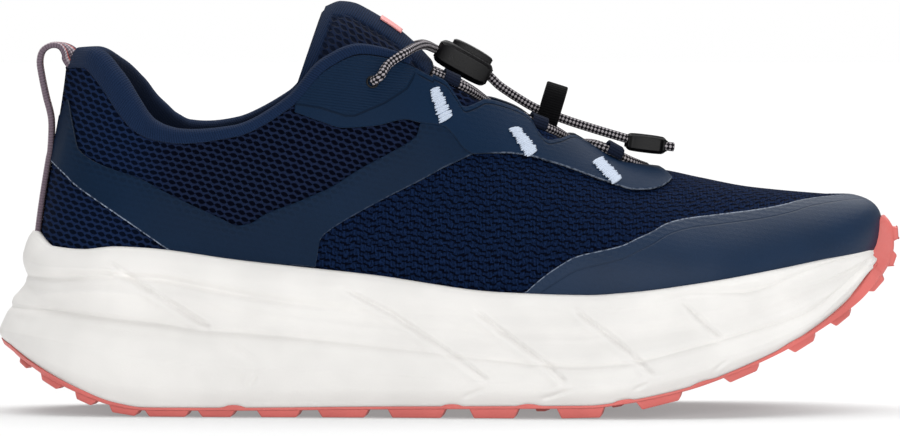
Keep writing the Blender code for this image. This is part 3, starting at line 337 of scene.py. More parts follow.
# The tread: ends of each edge lug along x, humps of rubber up the foam, and the middle lugs
EDGE_LUGS = (
    (-137.4, -133.6), (-130.6, -122.8), (-119.3, -111.8), (-108.3, -97.8), (-96.6, -82),
    (-79.8, -67.6), (-61.1, -46.9), (-41.9, -25.5), (-19.8, -1.3), (5.9, 21.7),
    (33.4, 48.8), (58.6, 73.4), (86.3, 98.2), (107, 116.5), (120.6, 128.1),
)  # fmt: skip
HUMPS = (-68.2, 0.6, 24.8, 54.6, 79.2, 107.4)
MIDDLE_LUGS = (
    (-103, 4.6), (-89.3, 4.6), (-73.1, 4.6), (-54, 4.6), (-33.7, 4.6), (-10.5, 4.6), (13.7, 4.6),
    (29.6, 3.0), (41.1, 4.0), (53.4, 3.0), (66, 4.6), (79.6, 3.2), (92.2, 4.6), (103.6, 3.6),
)  # fmt: skip
# Edge lugs: how far they reach in, how much of the sole's width that may be, and their slant
LUG_DEEP, LUG_SHARE, LUG_SLANT = 17.0, 0.36, 0.06
# Every lug: depth of its root, how far it narrows along and across, bevel; and the middle lugs' reach
LUG_ROOT, LUG_NARROW, LUG_BEVEL = GAP + 0.1, (1.6, 0.8), 0.4
MIDDLE_NEAR, MIDDLE_FAR, MIDDLE_SKEW, MIDDLE_SHORT = 1.6, 11.0, 1.4, 0.3
# Humps: half length, rise, and the height of the foam that turns a rise into a share of it
HUMP_HALF, HUMP_RISE, FOAM_TALL = 3.4, 0.8, 42
# The rubber plate's rings: how far each stands out of the foam or lies under it
PLATE_LOW, PLATE_BELLY, PLATE_SIDE, PLATE_TOP, PLATE_UNDER = GAP + 0.3, GAP + 0.7, GAP + 0.55, GAP + 0.2, -0.6
LID_UNDER, LID_DROP = -0.8, 0.1
RUBBER_EDGE = (
    (0.0, 0.05, 0.075, 0.11, 0.16, 0.20, 0.91, 0.95, 0.97, 1.0),
    (0.10, 0.10, 0.05, 0.03, 0.012, 0.004, 0.004, 0.08, 0.25, 0.5),
)
# Toe bumper: its inner and outer face in side view from the tread up, and its half width
BUMPER = Table(
    "step x z x2 z2 half",
    [
        (0, 126.5, 36.2, 129.0, 33.2, 24.0), (1, 130.6, 40.8, 133.8, 37.6, 18.0),
        (2, 134.0, 45.8, 138.6, 43.0, 12.0), (3, 136.2, 50.4, 141.2, 47.8, 9.0),
        (4, 137.4, 53.6, 142.3, 52.4, 8.0), (5, 137.9, 56.6, 142.2, 57.0, 7.5),
        (6, 138.0, 59.6, 140.9, 60.2, 7.0), (7, 138.2, 61.6, 139.4, 62.0, 6.0),
    ],
)  # fmt: skip
BUMPER_ROOT, BUMPER_LUG, BUMPER_NARROW, BUMPER_SLOT = -0.6, 1.5, (0.25, 0.8), 1.0
BUMPER_LUGS = ((1.0, 2.1), (2.5, 3.7), (4.25, 5.5))

# Steps of the larger grids: stations round half the shoe or along a piece, and rows
MIDSOLE_STATIONS, MIDSOLE_ROWS, INSOLE_STATIONS, OUTSOLE_STATIONS = 440, 92, 120, 240
UPPER_STATIONS, UPPER_ROWS, COLLAR_STATIONS, COLLAR_STEPS = 270, 58, 241, 4
SIDE_STATIONS, RAND_STATIONS, FILM_ROWS, EYESTAY_ROWS = 300, 420, 30, 34

# Looks that several finishes share
MESH_TURN = math.radians(12)
SOFT_CLOTH = {"Sheen_Weight": 0.03, "Sheen_Roughness": 0.5, "Specular_IOR_Level": 0.06}
BOUNCE_GREY = (0.26, 0.26, 0.26, 1.0)

# Studio: each light's name, place that it shines from, strength and width in degrees; then the camera
LIGHTS = (("top_light", (0.1, 0.45, 1.0), 2.9, 76), ("front_light", (0.2, -1.0, 0.2), 1.66, 50))
FLOOR_HALF, SKY_ON_SHOE, SKY_SEEN = 6.0, 0.3, 1.0
CAMERA_RISE, CAMERA_FAR, CAMERA_TARGET = math.radians(2.0), 3.0, (0.0, 0.0, 0.0614)
CAMERA_SENSOR, CAMERA_LENS, CAMERA_CLIP = 36.0, 375.5, 50.0


# Shapes: curves and surfaces that the pieces share
def smooth_step(u):
    u = np.clip(u, 0, 1)
    return u * u * (3 - 2 * u)


def unit(vectors):
    return vectors / np.maximum(np.linalg.norm(vectors, axis=-1, keepdims=True), 1e-9)


def raised(plan, height):
    return np.concatenate([plan, np.broadcast_to(height, plan.shape[:-1])[..., None]], axis=-1)


def bell(off, half_width):
    return np.exp(-((off / half_width) ** 2))


def lengths(path):
    """Distance run along a path, or along each column of a grid, at each of its points."""
    steps = np.linalg.norm(np.diff(path, axis=0), axis=-1)
    return np.concatenate([0 * steps[:1], np.cumsum(steps, axis=0)])


class Outline:
    """The sole's widest level in plan."""

    def __init__(self):
        dense = 3000
        angle = np.linspace(0, math.pi, dense)
        x = (HEEL_X + TOE_X) / 2 - (TOE_X - HEEL_X) / 2 * np.cos(angle)
        ends = np.where(x < 0, np.abs(x / HEEL_X) ** HEEL_ROUND, np.abs(x / TOE_X) ** TOE_ROUND)
        ends = np.sqrt(np.clip(1 - ends, 0, 1))
        axis = SOLE_SIDES.at("axis", x)
        lateral = np.column_stack([x, axis - SOLE_SIDES.at("lateral", x) * ends])
        medial = np.column_stack([x, axis + SOLE_SIDES.at("medial", x) * ends])
        loop = np.vstack([lateral, medial[-2:0:-1]])
        tangent = unit(np.roll(loop, -1, axis=0) - np.roll(loop, 1, axis=0))
        outward = np.column_stack([tangent[:, 1], -tangent[:, 0]])
        self.halves = {}
        medial_rows = np.r_[0, np.arange(len(loop) - 1, dense - 2, -1)]
        for side, rows in ((-1, np.arange(dense)), (1, medial_rows)):
            run = lengths(loop[rows])
            self.halves[side] = run / run[-1], loop[rows], outward[rows]

    def at(self, around):
        """Place, outward direction, share from heel to toe, and side of each station."""
        around = np.mod(around, 2.0)
        share = np.where(around <= 1, around, 2 - around)
        side = np.where(around <= 1, -1.0, 1.0)
        plan, normal = np.empty((*around.shape, 2)), np.empty((*around.shape, 2))
        for way, (run, spots, outward) in self.halves.items():
            here = side == way
            for k in (0, 1):
                plan[here, k] = np.interp(share[here], run, spots[:, k])
                normal[here, k] = np.interp(share[here], run, outward[:, k])
        return plan, unit(normal), share, side


OUTLINE = Outline()


def zone(share, heel, side, toe):
    """A size that changes from heel to sides to toe."""
    at_heel = 1 - smooth_step(share / HEEL_SHARE)
    at_toe = smooth_step((share - TOE_SHARE) / (1 - TOE_SHARE))
    return heel * at_heel + toe * at_toe + side * (1 - at_heel - at_toe)


def lip_inset(share):
    return zone(share, *(MIDSOLE_WALL.columns[k][-1] for k in ("heel", "side", "toe")))


def rim_width(share):
    return zone(share, RIM_SIDE, RIM_SIDE, RIM_TOE)


def wall(around, height, out=0.0):
    """The midsole's side wall at a share of its height, moved outwards by a distance."""
    around, height, out = np.broadcast_arrays(around, height, out)
    plan, normal, share, _ = OUTLINE.at(around)
    foot_inset = zone(share, *(MIDSOLE_WALL.columns[k][0] for k in ("heel", "side", "toe")))
    foot = SOLE_LINES.at("foot", (plan - normal * foot_inset[..., None])[..., 0])
    lip = SOLE_LINES.at("lip", (plan - normal * lip_inset(share)[..., None])[..., 0])
    inset = zone(share, *(MIDSOLE_WALL.at(k, height) for k in ("heel", "side", "toe")))
    return raised(plan - normal * (inset - out)[..., None], foot + (lip - foot) * height)


def across(edge, around, share, height):
    """Places from the shoe's middle line (share 0) to an edge ring (share 1), at a height over x."""
    partner = edge[np.argmin(np.abs(np.mod(2 - around, 2)[:, None] - np.mod(around, 2)), axis=1)]
    middle = (edge + partner) / 2
    spots = middle + (edge - middle) * share
    spots[:, 2] = height(spots[:, 0])
    return spots


def upper(around, rows):
    """The upper's outer face: rows (rows by stations, or one list for all stations) of places."""
    plan, normal, share, side = OUTLINE.at(around)
    inset = lip_inset(share) + rim_width(share) + GAP
    base = raised(plan - normal * inset[:, None], wall(around, 1.0)[:, 2] - BITE)
    at = {name: UPPER_COLUMNS.at(name, share) for name in UPPER_COLUMNS.columns}
    reach = np.where(share < THROAT_SHARE - 1e-6, np.maximum(at["y"], 0), 0)
    rise = np.where(side > 0, MEDIAL_RISE.at("rise", share), 0)
    top = np.column_stack([at["x"], side * reach + SOLE_SIDES.at("axis", at["x"]), at["z"] + rise])
    outward = unit(raised(base[:, :2] - top[:, :2] + 5 * normal, 0))
    lean = np.radians(at["top_lean"])[:, None]
    first = base + UP * at["base_up"][:, None] + raised(normal, 0) * at["base_out"][:, None]
    second = top + (outward * np.sin(lean) - UP * np.cos(lean)) * at["top_reach"][:, None]
    t = np.asarray(rows, float)
    t = np.broadcast_to(t.reshape(len(t), -1), (len(t), len(around)))[..., None]
    return base * (1 - t) ** 3 + first * 3 * t * (1 - t) ** 2 + second * 3 * t**2 * (1 - t) + top * t**3


def upper_face(around, rows):
    """Places on the upper's outer face and the directions in which it looks."""
    rows = np.asarray(rows, float)
    rows = np.broadcast_to(rows.reshape(len(rows), -1), (len(rows), len(around)))
    step = 1e-3
    inside = np.minimum(rows, 1 - 2 * step) if rows.max() <= 1 else rows
    along = upper(around + step, inside) - upper(around - step, inside)
    rise = upper(around, inside + step) - upper(around, inside - step)
    return upper(around, rows), unit(np.cross(along, rise))


def edge_rows(around, table, name):
    """Row of each station where the upper passes an edge that is drawn in side view."""
    rows = np.linspace(0, 1.25, 401)
    grid = upper(around, rows)
    above = grid[:, :, 2] - table.at(name, grid[:, :, 0])
    found = np.where((above > 0).any(axis=0), np.argmax(above > 0, axis=0), len(rows) - 1)
    every = np.arange(len(around))
    low, high = above[np.maximum(found - 1, 0), every], above[found, every]
    part = np.where(found > 0, -low / np.where(high == low, 1, high - low), 0)
    return np.clip(rows[np.maximum(found - 1, 0)] + np.clip(part, 0, 1) * (rows[1] - rows[0]), 0, 1.2)


def on_upper(x, z, side):
    """The place on one side of the upper that shows at x and z in side view, and where it looks."""
    share = np.linspace(0.02, 0.95, 400)
    grid, normals = upper_face(share if side < 0 else 2 - share, np.linspace(0, 1.08, 180))
    nearest = np.argmin(np.hypot(grid[..., 0] - x, grid[..., 2] - z))
    return grid.reshape(-1, 3)[nearest], normals.reshape(-1, 3)[nearest]


def beside_line(line, x, z):
    """Distance of places in side view from a line, how far they lie to its right, and the run along it."""
    best, beside, run = (np.full(np.shape(x), start) for start in (99.0, 99.0, 0.0))
    total = 0.0
    for (x1, z1), (x2, z2) in zip(line, line[1:]):
        length = math.hypot(x2 - x1, z2 - z1)
        along = ((x - x1) * (x2 - x1) + (z - z1) * (z2 - z1)) / length
        off = ((x - x1) * (z2 - z1) - (z - z1) * (x2 - x1)) / length
        distance = np.hypot(off, np.maximum(np.maximum(-along, along - length), 0))
        beside = np.where(distance < best, off, beside)
        run = np.where(distance < best, total + np.clip(along, 0, length), run)
        best = np.minimum(best, distance)
        total += length
    return best, beside, run


def above(line, x, z, most=3.0):
    """Distance of places in side view over a line that runs to the right, up to a limit."""
    best, beside, _ = beside_line(line, x, z)
    far_off = np.where(z > np.interp(x, *np.array(line).T), most, -most)
    return np.where(best < most, np.where(beside > 0, -best, best), far_off)


def curve_through(stops, steps):
    """A smooth path through a few places, with the given number of steps between them."""
    stops = np.asarray(stops, float)
    where = np.linspace(0, len(stops) - 1, steps * (len(stops) - 1) + 1)
    slopes = np.gradient(stops, axis=0)
    left = np.minimum(where.astype(int), len(stops) - 2)
    u = (where - left)[:, None]
    return bend(u, stops[left], stops[left + 1], slopes[left], slopes[left + 1])


def rounded_path(stops, times):
    """A path through its stops with each corner cut round."""
    path = np.asarray(stops, float)
    for _ in range(times):
        early, late = path[:-1] * 0.75 + path[1:] * 0.25, path[:-1] * 0.25 + path[1:] * 0.75
        cut = np.stack([early, late], axis=1).reshape(-1, 3)
        path = np.vstack([path[:1], cut[1:-1], path[-1:]])
    return path


# Meshes
def new_mesh(*marks):
    """An empty bmesh with a UV map in metres and one stored value for each named mark."""
    made = bmesh.new()
    made.loops.layers.uv.new("surface")
    for name in marks:
        made.verts.layers.float.new(name)
    return made


def skin(made, spots, uv=None, **marks):
    """Adds a grid of faces through rows by columns of places in millimetres."""
    rows, columns = spots.shape[:2]
    grid = bmesh.ops.create_grid(made, x_segments=columns - 1, y_segments=rows - 1, size=1.0)["verts"]
    stores = [(made.verts.layers.float[name], values) for name, values in marks.items()]
    index = {}
    for vert in grid:
        c = round((vert.co.x + 1) / 2 * (columns - 1))
        r = round((vert.co.y + 1) / 2 * (rows - 1))
        index[vert] = r, c
    for vert, where in index.items():
        vert.co = spots[where] * MM
        for store, values in stores:
            vert[store] = values[where]
    if uv is not None:
        surface = made.loops.layers.uv.active
        for face in {f for vert in grid for f in vert.link_faces}:
            for loop in face.loops:
                loop[surface].uv = uv[index[loop.vert]] * MM
    return grid


def weld(made):
    bmesh.ops.remove_doubles(made, verts=made.verts, dist=2e-6)
    bmesh.ops.dissolve_degenerate(made, edges=made.edges, dist=1e-7)


def close_ends(made):
    bmesh.ops.holes_fill(made, edges=[e for e in made.edges if e.is_boundary], sides=0)


def tube(made, spots, uv, **marks):
    """Adds a grid whose columns close on themselves, welded, with its ends filled."""
    skin(made, spots, uv, **marks)
    weld(made)
    close_ends(made)


def face_out(made):
    """Turns each closed shell of a mesh outwards; the operator can choose wrongly on a thin shell."""
    bmesh.ops.recalc_face_normals(made, faces=made.faces)
    left = set(made.faces)
    while left:
        shell = [left.pop()]
        volume = 0.0
        for face in shell:
            linked = {other for edge in face.edges for other in edge.link_faces} & left
            shell.extend(linked)
            left -= linked
            first, *others = (vert.co for vert in face.verts)
            volume += sum(first.dot(a.cross(b)) for a, b in zip(others, others[1:]))
        if volume < 0:
            bmesh.ops.reverse_faces(made, faces=shell)


def piece(name, made, materials, nodes=(), sharp=None, recalc=False):
    """Turns a bmesh into a piece that rides on the shoe and stands for CAD nodes."""
    weld(made)
    if recalc:
        face_out(made)
    mesh = bpy.data.meshes.new(name)
    made.to_mesh(mesh)
    made.free()
    mesh.shade_smooth()
    if sharp:
        mesh.set_sharp_from_angle(angle=math.radians(sharp))
    for look in materials:
        mesh.materials.append(look)
    obj = bpy.data.objects.new(name, mesh)
    bpy.context.scene.collection.objects.link(obj)
    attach(obj, "root")
    if nodes:
        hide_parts(*nodes)
    return obj


def thicken(obj, thickness, rim=0, inner=0):
    """Gives a sheet its thickness inwards; rim and inner pick its other materials."""
    wall_of = obj.modifiers.new("thickness", "SOLIDIFY")
    wall_of.thickness = thickness * MM
    wall_of.offset = -1
    wall_of.use_even_offset = True
    wall_of.material_offset_rim = rim
    wall_of.material_offset = inner


def sweep(made, path, across_at, section):
    """Adds a closed form: a section (width, height pairs) carried along a path, with filled ends."""
    path = np.asarray(path, float)
    side = unit(np.broadcast_to(np.asarray(across_at, float), path.shape))
    ahead = unit(np.gradient(path, axis=0))
    side = unit(side - ahead * np.sum(side * ahead, axis=1, keepdims=True))
    over = np.cross(side, ahead)
    section = np.vstack([section, section[:1]])
    spots = path[:, None] + section[:, 0, None] * side[:, None] + section[:, 1, None] * over[:, None]
    edge = lengths(section)
    uv = np.stack(np.broadcast_arrays(edge[None, :], lengths(path)[:, None]), axis=-1)
    tube(made, spots, uv)


def bevel(made, edges, offset, segments):
    bmesh.ops.bevel(
        made, geom=edges, offset=offset * MM, segments=segments, profile=0.5, affect="EDGES", material=-1
    )


def round_section(radius, count=12):
    angle = np.linspace(0, 2 * math.pi, count, endpoint=False)
    return np.column_stack([np.cos(angle), np.sin(angle)]) * radius


def strap_section(width, thick, steps=4):
    """A flat strip with round edges, starting at the middle of its lower face."""
    reach, edge = width / 2 - thick / 2, thick / 2
    turn = np.linspace(-math.pi / 2, math.pi / 2, steps + 1)
    right = np.column_stack([reach + np.cos(turn) * edge, np.sin(turn) * edge])
    return np.vstack([[(0, -edge)], right, [(0, edge)], -right])


def cord_sides(path):
    """A direction across a cord at each of its points, level as far as it can be."""
    return unit(np.cross(np.gradient(np.asarray(path, float), axis=0), UP + 0.01))


# Materials: short ways to add nodes, then the groups that finishes share
class Wire:
    """One output of a shader node; arithmetic on it adds Math nodes."""

    def __init__(self, tree, socket):
        self.tree, self.socket = tree, socket

    def __add__(self, other):
        return self.tree.math("ADD", self, other)

    def __sub__(self, other):
        return self.tree.math("SUBTRACT", self, other)

    def __rsub__(self, other):
        return self.tree.math("SUBTRACT", other, self)

    def __mul__(self, other):
        return self.tree.math("MULTIPLY", self, other)

    def __truediv__(self, other):
        return self.tree.math("DIVIDE", self, other)

    def __rtruediv__(self, other):
        return self.tree.math("DIVIDE", other, self)

    def __abs__(self):
        return self.tree.math("ABSOLUTE", self)


class Tree:
    """Adds shader nodes; an input is a value, or a wire from another node."""

    def __init__(self, tree):
        self.tree = tree

    def link(self, value, socket):
        if isinstance(value, Wire):
            self.tree.links.new(value.socket, socket)
        else:
            socket.default_value = value

    def node(self, kind, inputs=(), **settings):
        made = self.tree.nodes.new("ShaderNode" + kind)
        for name, value in settings.items():
            setattr(made, name, value)
        for key, value in dict(inputs).items():
            self.link(value, made.inputs[key])
        return made

    def add(self, kind, inputs=(), output=0, **settings):
        return Wire(self, self.node(kind, inputs, **settings).outputs[output])

    def math(self, operation, *values):
        return self.add("Math", dict(enumerate(values)), operation=operation)

    def sine(self, value):
        return self.math("SINE", value)

    def ramp(self, value, low, high, start=0.0, end=1.0):
        """A smooth change from start to end as the value goes from low to high."""
        inputs = {"Value": value, "From Min": low, "From Max": high, "To Min": start, "To Max": end}
        return self.add("MapRange", inputs, interpolation_type="SMOOTHSTEP")

    def mix(self, share, first, second):
        return self.add("Mix", {0: share, 6: first, 7: second}, 2, data_type="RGBA")

    def noise(self, vector, scale, detail=3.0):
        return self.add("TexNoise", {"Vector": vector, "Scale": scale, "Detail": detail})

    def speckle(self, size):
        """Noise over the piece, of a size in millimetres."""
        return self.noise(self.place(), 1 / (size * MM))

    def parts(self, vector):
        return [Wire(self, socket) for socket in self.node("SeparateXYZ", {0: vector}).outputs]

    def surface(self):
        return self.add("UVMap", uv_map="surface")

    def place(self):
        return self.add("TexCoord", output="Object")

    def mark(self, name):
        return self.add("Attribute", output="Fac", attribute_name=name)

    def group(self, tree, **inputs):
        given = {name.capitalize(): value for name, value in inputs.items()}
        made = self.node("Group", given, node_tree=tree)
        return {socket.name: Wire(self, socket) for socket in made.outputs}

    def grain(self, size):
        return self.group(fine_grain(), vector=self.place(), size=size)

    def rib(self, coordinate, pitch):
        return self.group(ribs(), coordinate=coordinate, pitch=pitch)["Rib"]

    def mesh_holes(self):
        """The open mesh of the upper, turned against its length."""
        turned = {"Vector": self.surface(), "Rotation": (0, 0, MESH_TURN)}
        return self.group(open_holes(), vector=self.add("Mapping", turned))["Hole"]


def shader_group(name, inputs, outputs, build):
    """A node group of vector (None) and number inputs; build turns its input wires into its outputs."""
    if name in bpy.data.node_groups:
        return bpy.data.node_groups[name]
    tree = bpy.data.node_groups.new(name, "ShaderNodeTree")
    for label, value in inputs.items():
        kind = "NodeSocketVector" if value is None else "NodeSocketFloat"
        socket = tree.interface.new_socket(label, in_out="INPUT", socket_type=kind)
        if value is not None:
            socket.default_value = value
    for label in outputs:
        tree.interface.new_socket(label, in_out="OUTPUT", socket_type="NodeSocketFloat")
    start, end = tree.nodes.new("NodeGroupInput"), tree.nodes.new("NodeGroupOutput")
    t = Tree(tree)
    given = {socket.name: Wire(t, socket) for socket in start.outputs}
    for label, value in build(t, given).items():
        t.link(value, end.inputs[label])
    return tree


def open_holes():
    """Lens-shaped holes in brick rows, each turned a little; sizes in metres."""

    def build(t, given):
        wobble = (t.noise(given["Vector"], 220.0, 1.0) - 0.5) * 0.35
        x, y, _ = t.parts(given["Vector"])
        row = y / given["Row"] + wobble
        number = t.math("FLOOR", row)
        u = x / given["Pitch"] + t.math("FLOORED_MODULO", number, 2.0) * 0.5
        u = t.math("FRACT", u + wobble) - 0.5
        v = row - number - 0.5 + u * given["Turn"]
        u, v = u / given["Width"], v / given["Height"]
        return {"Hole": t.ramp(u * u + abs(v), 0.6, 1.15, 1.0, 0.0)}

    inputs = {"Vector": None, "Pitch": 0.0026, "Row": 0.0019, "Width": 0.50, "Height": 0.40, "Turn": 0.12}
    return shader_group("open holes", inputs, ["Hole"], build)


def knit_rows():
    """Uneven rows of dashes with fine upright yarns; sizes in metres."""

    def build(t, given):
        x, y, _ = t.parts(given["Vector"])
        patch = t.noise(given["Vector"], 260.0, 2.0)
        turn = x / given["Pitch"] * (2 * math.pi)
        row = y / given["Row"] + (t.sine(turn * 0.37) * 0.16 + patch * 0.9)
        dash = t.sine(turn + t.math("FLOOR", row) * 2.4)
        dash = t.ramp(dash + patch * 1.6, 0.4, 1.0)
        gap = t.ramp(abs(t.math("FRACT", row) - 0.5), 0.16, 0.36) * dash
        fleck = t.add("Mapping", {"Vector": given["Vector"], "Scale": (2200.0, 900.0, 1.0)})
        fleck = t.ramp(t.noise(fleck, 1.0, 2.0), 0.35, 0.68, 0.0, 0.8)
        return {"Gap": gap, "Yarn": abs(t.sine(turn * 1.5)) * 0.4 + fleck}

    return shader_group("knit rows", {"Vector": None, "Pitch": 0.0034, "Row": 0.0021}, ["Gap", "Yarn"], build)


def ribs():
    """Round ribs side by side along one coordinate in metres."""

    def build(t, given):
        return {"Rib": abs(t.sine(given["Coordinate"] / given["Pitch"] * math.pi))}

    return shader_group("ribs", {"Coordinate": 0.0, "Pitch": 0.001}, ["Rib"], build)


def fine_grain():
    """A fine leathery grain of a size in metres, and a slow change of shade."""

    def build(t, given):
        scale = 1 / given["Size"]
        cells = t.add("TexVoronoi", {"Vector": given["Vector"], "Scale": scale}, "Distance")
        grain = cells * 0.6 + t.noise(given["Vector"], scale, 4.0)
        return {"Grain": grain, "Shade": t.ramp(t.noise(given["Vector"], 45.0, 2.0), 0.3, 0.7)}

    return shader_group("fine grain", {"Vector": None, "Size": 0.0005}, ["Grain", "Shade"], build)


def braid():
    """Dark and pale strands of a round braid in a diamond check; the UV map runs round and along the cord."""

    def build(t, given):
        x, y, _ = t.parts(given["Vector"])
        round_by = x / given["Round"] * (6 * math.pi)
        along = y / given["Step"] * (2 * math.pi)
        check = t.sine(along + round_by) * t.sine(along - round_by)
        return {"Pale": t.ramp(check, -0.05, 0.3), "Crest": abs(check)}

    return shader_group("braid", {"Vector": None, "Round": 0.0088, "Step": 0.0024}, ["Pale", "Crest"], build)


def finish(name, roughness, build, **plain):
    """A material; build returns Base Color, and a Height in millimetres if it has relief."""
    if name in bpy.data.materials:
        return bpy.data.materials[name]
    made = bpy.data.materials.new(name)
    made.use_nodes = True
    shader = made.node_tree.nodes["Principled BSDF"]
    for key, value in {"Roughness": roughness, **plain}.items():
        shader.inputs[key.replace("_", " ")].default_value = value
    t = Tree(made.node_tree)
    for key, value in build(t).items():
        if key == "Height":
            key, value = "Normal", t.add("Bump", {"Height": value, "Strength": 1.0, "Distance": MM})
        t.link(value, shader.inputs[key])
    return made


def shaded(colour, factor=1.0):
    return (*(min(c * factor, 1.0) for c in colour[:3]), 1.0)


def moulded(t, colour, dark, bright, size, height, rough=None):
    """A colour that changes slowly over a fine relief; rough is a ramp of roughness over the grain."""
    grain = t.grain(size)
    made = {"Base Color": t.mix(grain["Shade"], shaded(colour, dark), shaded(colour, bright))}
    if rough:
        made["Roughness"] = t.ramp(grain["Grain"], *rough)
    return {**made, "Height": grain["Grain"] * height}


def foam_finish(colours):
    def build(t):
        return moulded(t, colours.foam, 0.95, 1.02, 0.0007, 0.035, (0.2, 1.2, 0.5, 0.68))

    return finish("moulded foam", 0.6, build, Specular_IOR_Level=0.35)


def rubber_finish(colours):
    """Rubber that throws little of its colour on to what is near it."""

    def build(t):
        made = moulded(t, colours.rubber, 0.93, 1.04, 0.0009, 0.05, (0.2, 1.2, 0.42, 0.62))
        bounced = t.add("LightPath", output="Is Diffuse Ray")
        made["Base Color"] = t.mix(bounced * 0.85, made["Base Color"], BOUNCE_GREY)
        return made

    return finish("tread rubber", 0.5, build)


def plastic_finish(colours):
    def build(t):
        return moulded(t, colours.plastic, 0.8, 1.4, 0.0004, 0.02, (0.3, 1.2, 0.26, 0.42))

    return finish("moulded plastic", 0.34, build, Specular_IOR_Level=0.22)


def label_finish(colours):
    def build(t):
        # The label colour is partly painted sheen: paler than the patch's own pink
        return moulded(t, colours.label, 0.9, 1.05, 0.0006, 0.05)

    return finish("bare label", 0.6, build)


def mesh_finish(colours):
    """The upper's knit: open lens holes on quarter and heel, closed uneven rows on the vamp."""

    def build(t):
        hole = t.mesh_holes()
        knit = t.group(knit_rows(), vector=t.surface())
        grain = t.grain(0.0004)["Grain"]
        vamp, heel, pit = t.mark("vamp"), t.mark("heel"), shaded(colours.mesh_hole)
        yarn = t.mix(heel, shaded(colours.mesh, 1.25), shaded(colours.vamp, 1.65))
        yarn = t.mix(t.ramp(grain, 0.3, 1.1) * 0.45, yarn, shaded(colours.mesh, 2.6))
        quarter = t.mix(hole, yarn, t.mix(heel, pit, shaded(colours.vamp, 0.35)))
        body = t.mix(knit["Yarn"], shaded(colours.vamp, 0.4), shaded(colours.vamp, 1.7))
        front = t.mix(knit["Gap"] * 0.95, body, pit)
        rows = knit["Gap"] * -0.35 + knit["Yarn"] * 0.16
        height = (1 - hole) * 0.5 * (1 - vamp) + rows * vamp + grain * 0.08
        return {"Base Color": t.mix(vamp, quarter, front), "Height": height}

    return finish("knit mesh", 0.82, build, Specular_IOR_Level=0.03)


def lining_finish(colours):
    def build(t):
        x, y, _ = t.parts(t.surface())
        colour = t.mix(t.rib(x + y, 0.0012), shaded(colours.lining, 0.6), shaded(colours.lining, 1.1))
        return {"Base Color": colour, "Height": t.grain(0.0005)["Grain"] * 0.1}

    return finish("inner lining", 0.95, build, Specular_IOR_Level=0.2)


def insole_finish(colours):
    def build(t):
        knit = t.group(knit_rows(), vector=t.surface(), pitch=0.0022, row=0.0016)
        colour = t.mix(knit["Gap"], shaded(colours.insole), shaded(colours.insole, 0.4))
        colour = t.mix(t.grain(0.0005)["Shade"] * 0.3, colour, shaded(colours.insole, 1.4))
        rib = t.rib(t.parts(t.surface())[1], 0.0016)
        return {"Base Color": colour, "Height": knit["Gap"] * -0.2 + rib * 0.08}

    return finish("insole cloth", 0.9, build, Sheen_Weight=0.2, Sheen_Roughness=0.5)


def film_finish(colours, name, line_at, strength, shade, gloss):
    """Smooth welded film with a line pressed along its upper edge, at a distance from it in mm; shade brightens or
    darkens the film colour as painted light.
    """

    def tone(factor):
        return shaded(colours.film, factor)

    def build(t):
        grain = t.grain(0.00045)
        imprint = t.mesh_holes() * t.ramp(t.mark("from_high"), 0.0, 6.0, 0.55, 0.12)
        # shade scales the film colour as painted light: the toe film lighter, the quarter film darker
        colour = t.mix(grain["Shade"], tone(0.93 * shade), tone(1.07 * shade))
        colour = t.mix(t.ramp(grain["Grain"], 0.5, 1.2, 0.0, 0.25), colour, tone(1.5 * shade))
        if not strength:
            colour = t.mix(imprint, colour, tone(0.55))
        # The pressed line is a groove that is also darkened in colour: painted shade
        line = t.ramp(abs(t.mark("from_high") - line_at), 0.12, 0.4, 1.0, 0.0) * strength
        line = line * t.ramp(t.parts(t.place())[0], *LINE_STARTS)
        border = t.ramp(abs(t.mark("pressed")), 0.15, 0.5, 1.0, 0.0)
        pressed = t.ramp(t.mark("pressed"), 0.5, 0.9)
        x, y, _ = t.parts(t.surface())
        rib = t.rib(y + x * 0.12, 0.0009)
        shadow = pressed * t.ramp(rib, 0.0, 0.55, 0.45, 0.0)
        rim = t.ramp(t.mark("from_edge"), 0.22, 0.5, 1.0, 0.0) * t.mark("pale")
        rim = rim * t.ramp(t.speckle(1.2), 0.38, 0.6, 0.15, 1.0)
        # The pressed line, the pressed panel's border and the troughs between its ribs are darkened in colour as
        # well as sunk: painted shade in the grooves
        layers = [(line * 0.75, tone(0.3)), (border * 0.6, tone(0.35)), (shadow, tone(0.45))]
        for share, over in [*layers, (rim, shaded(colours.cut_edge))]:
            colour = t.mix(share, colour, over)
        height = grain["Grain"] * 0.05 + imprint * -0.12 + line * -0.3 + border * -0.2
        return {"Base Color": colour, "Height": height + (rib - 1) * 0.14 * pressed}

    return finish(name, 0.5, build, Specular_IOR_Level=gloss)


def cut_edge_finish(colours):
    def build(t):
        share = t.ramp(t.speckle(1.2), 0.35, 0.6) * t.mark("pale")
        return {"Base Color": t.mix(share, shaded(colours.film, 0.7), shaded(colours.cut_edge))}

    return finish("cut film edge", 0.6, build)


def jersey_finish(colours):
    def build(t):
        x, y, _ = t.parts(t.surface())
        twill, cross = t.rib(x + y * 0.25, 0.0008), t.rib(y, 0.0009)
        grain = t.grain(0.0004)
        colour = t.mix(twill, shaded(colours.jersey, 0.7), shaded(colours.jersey, 1.1))
        colour = t.mix(grain["Shade"] * 0.35, colour, shaded(colours.jersey, 1.3))
        # Inside the cuff the colour turns to the lining cloth at 0.6 of its colour: the lining's own colour plus
        # painted shade
        colour = t.mix(t.mark("inside") * 0.75, colour, shaded(colours.lining, 0.6))
        return {"Base Color": colour, "Height": twill * 0.14 + cross * 0.06 + grain["Grain"] * 0.06}

    return finish("collar jersey", 0.9, build, **SOFT_CLOTH)


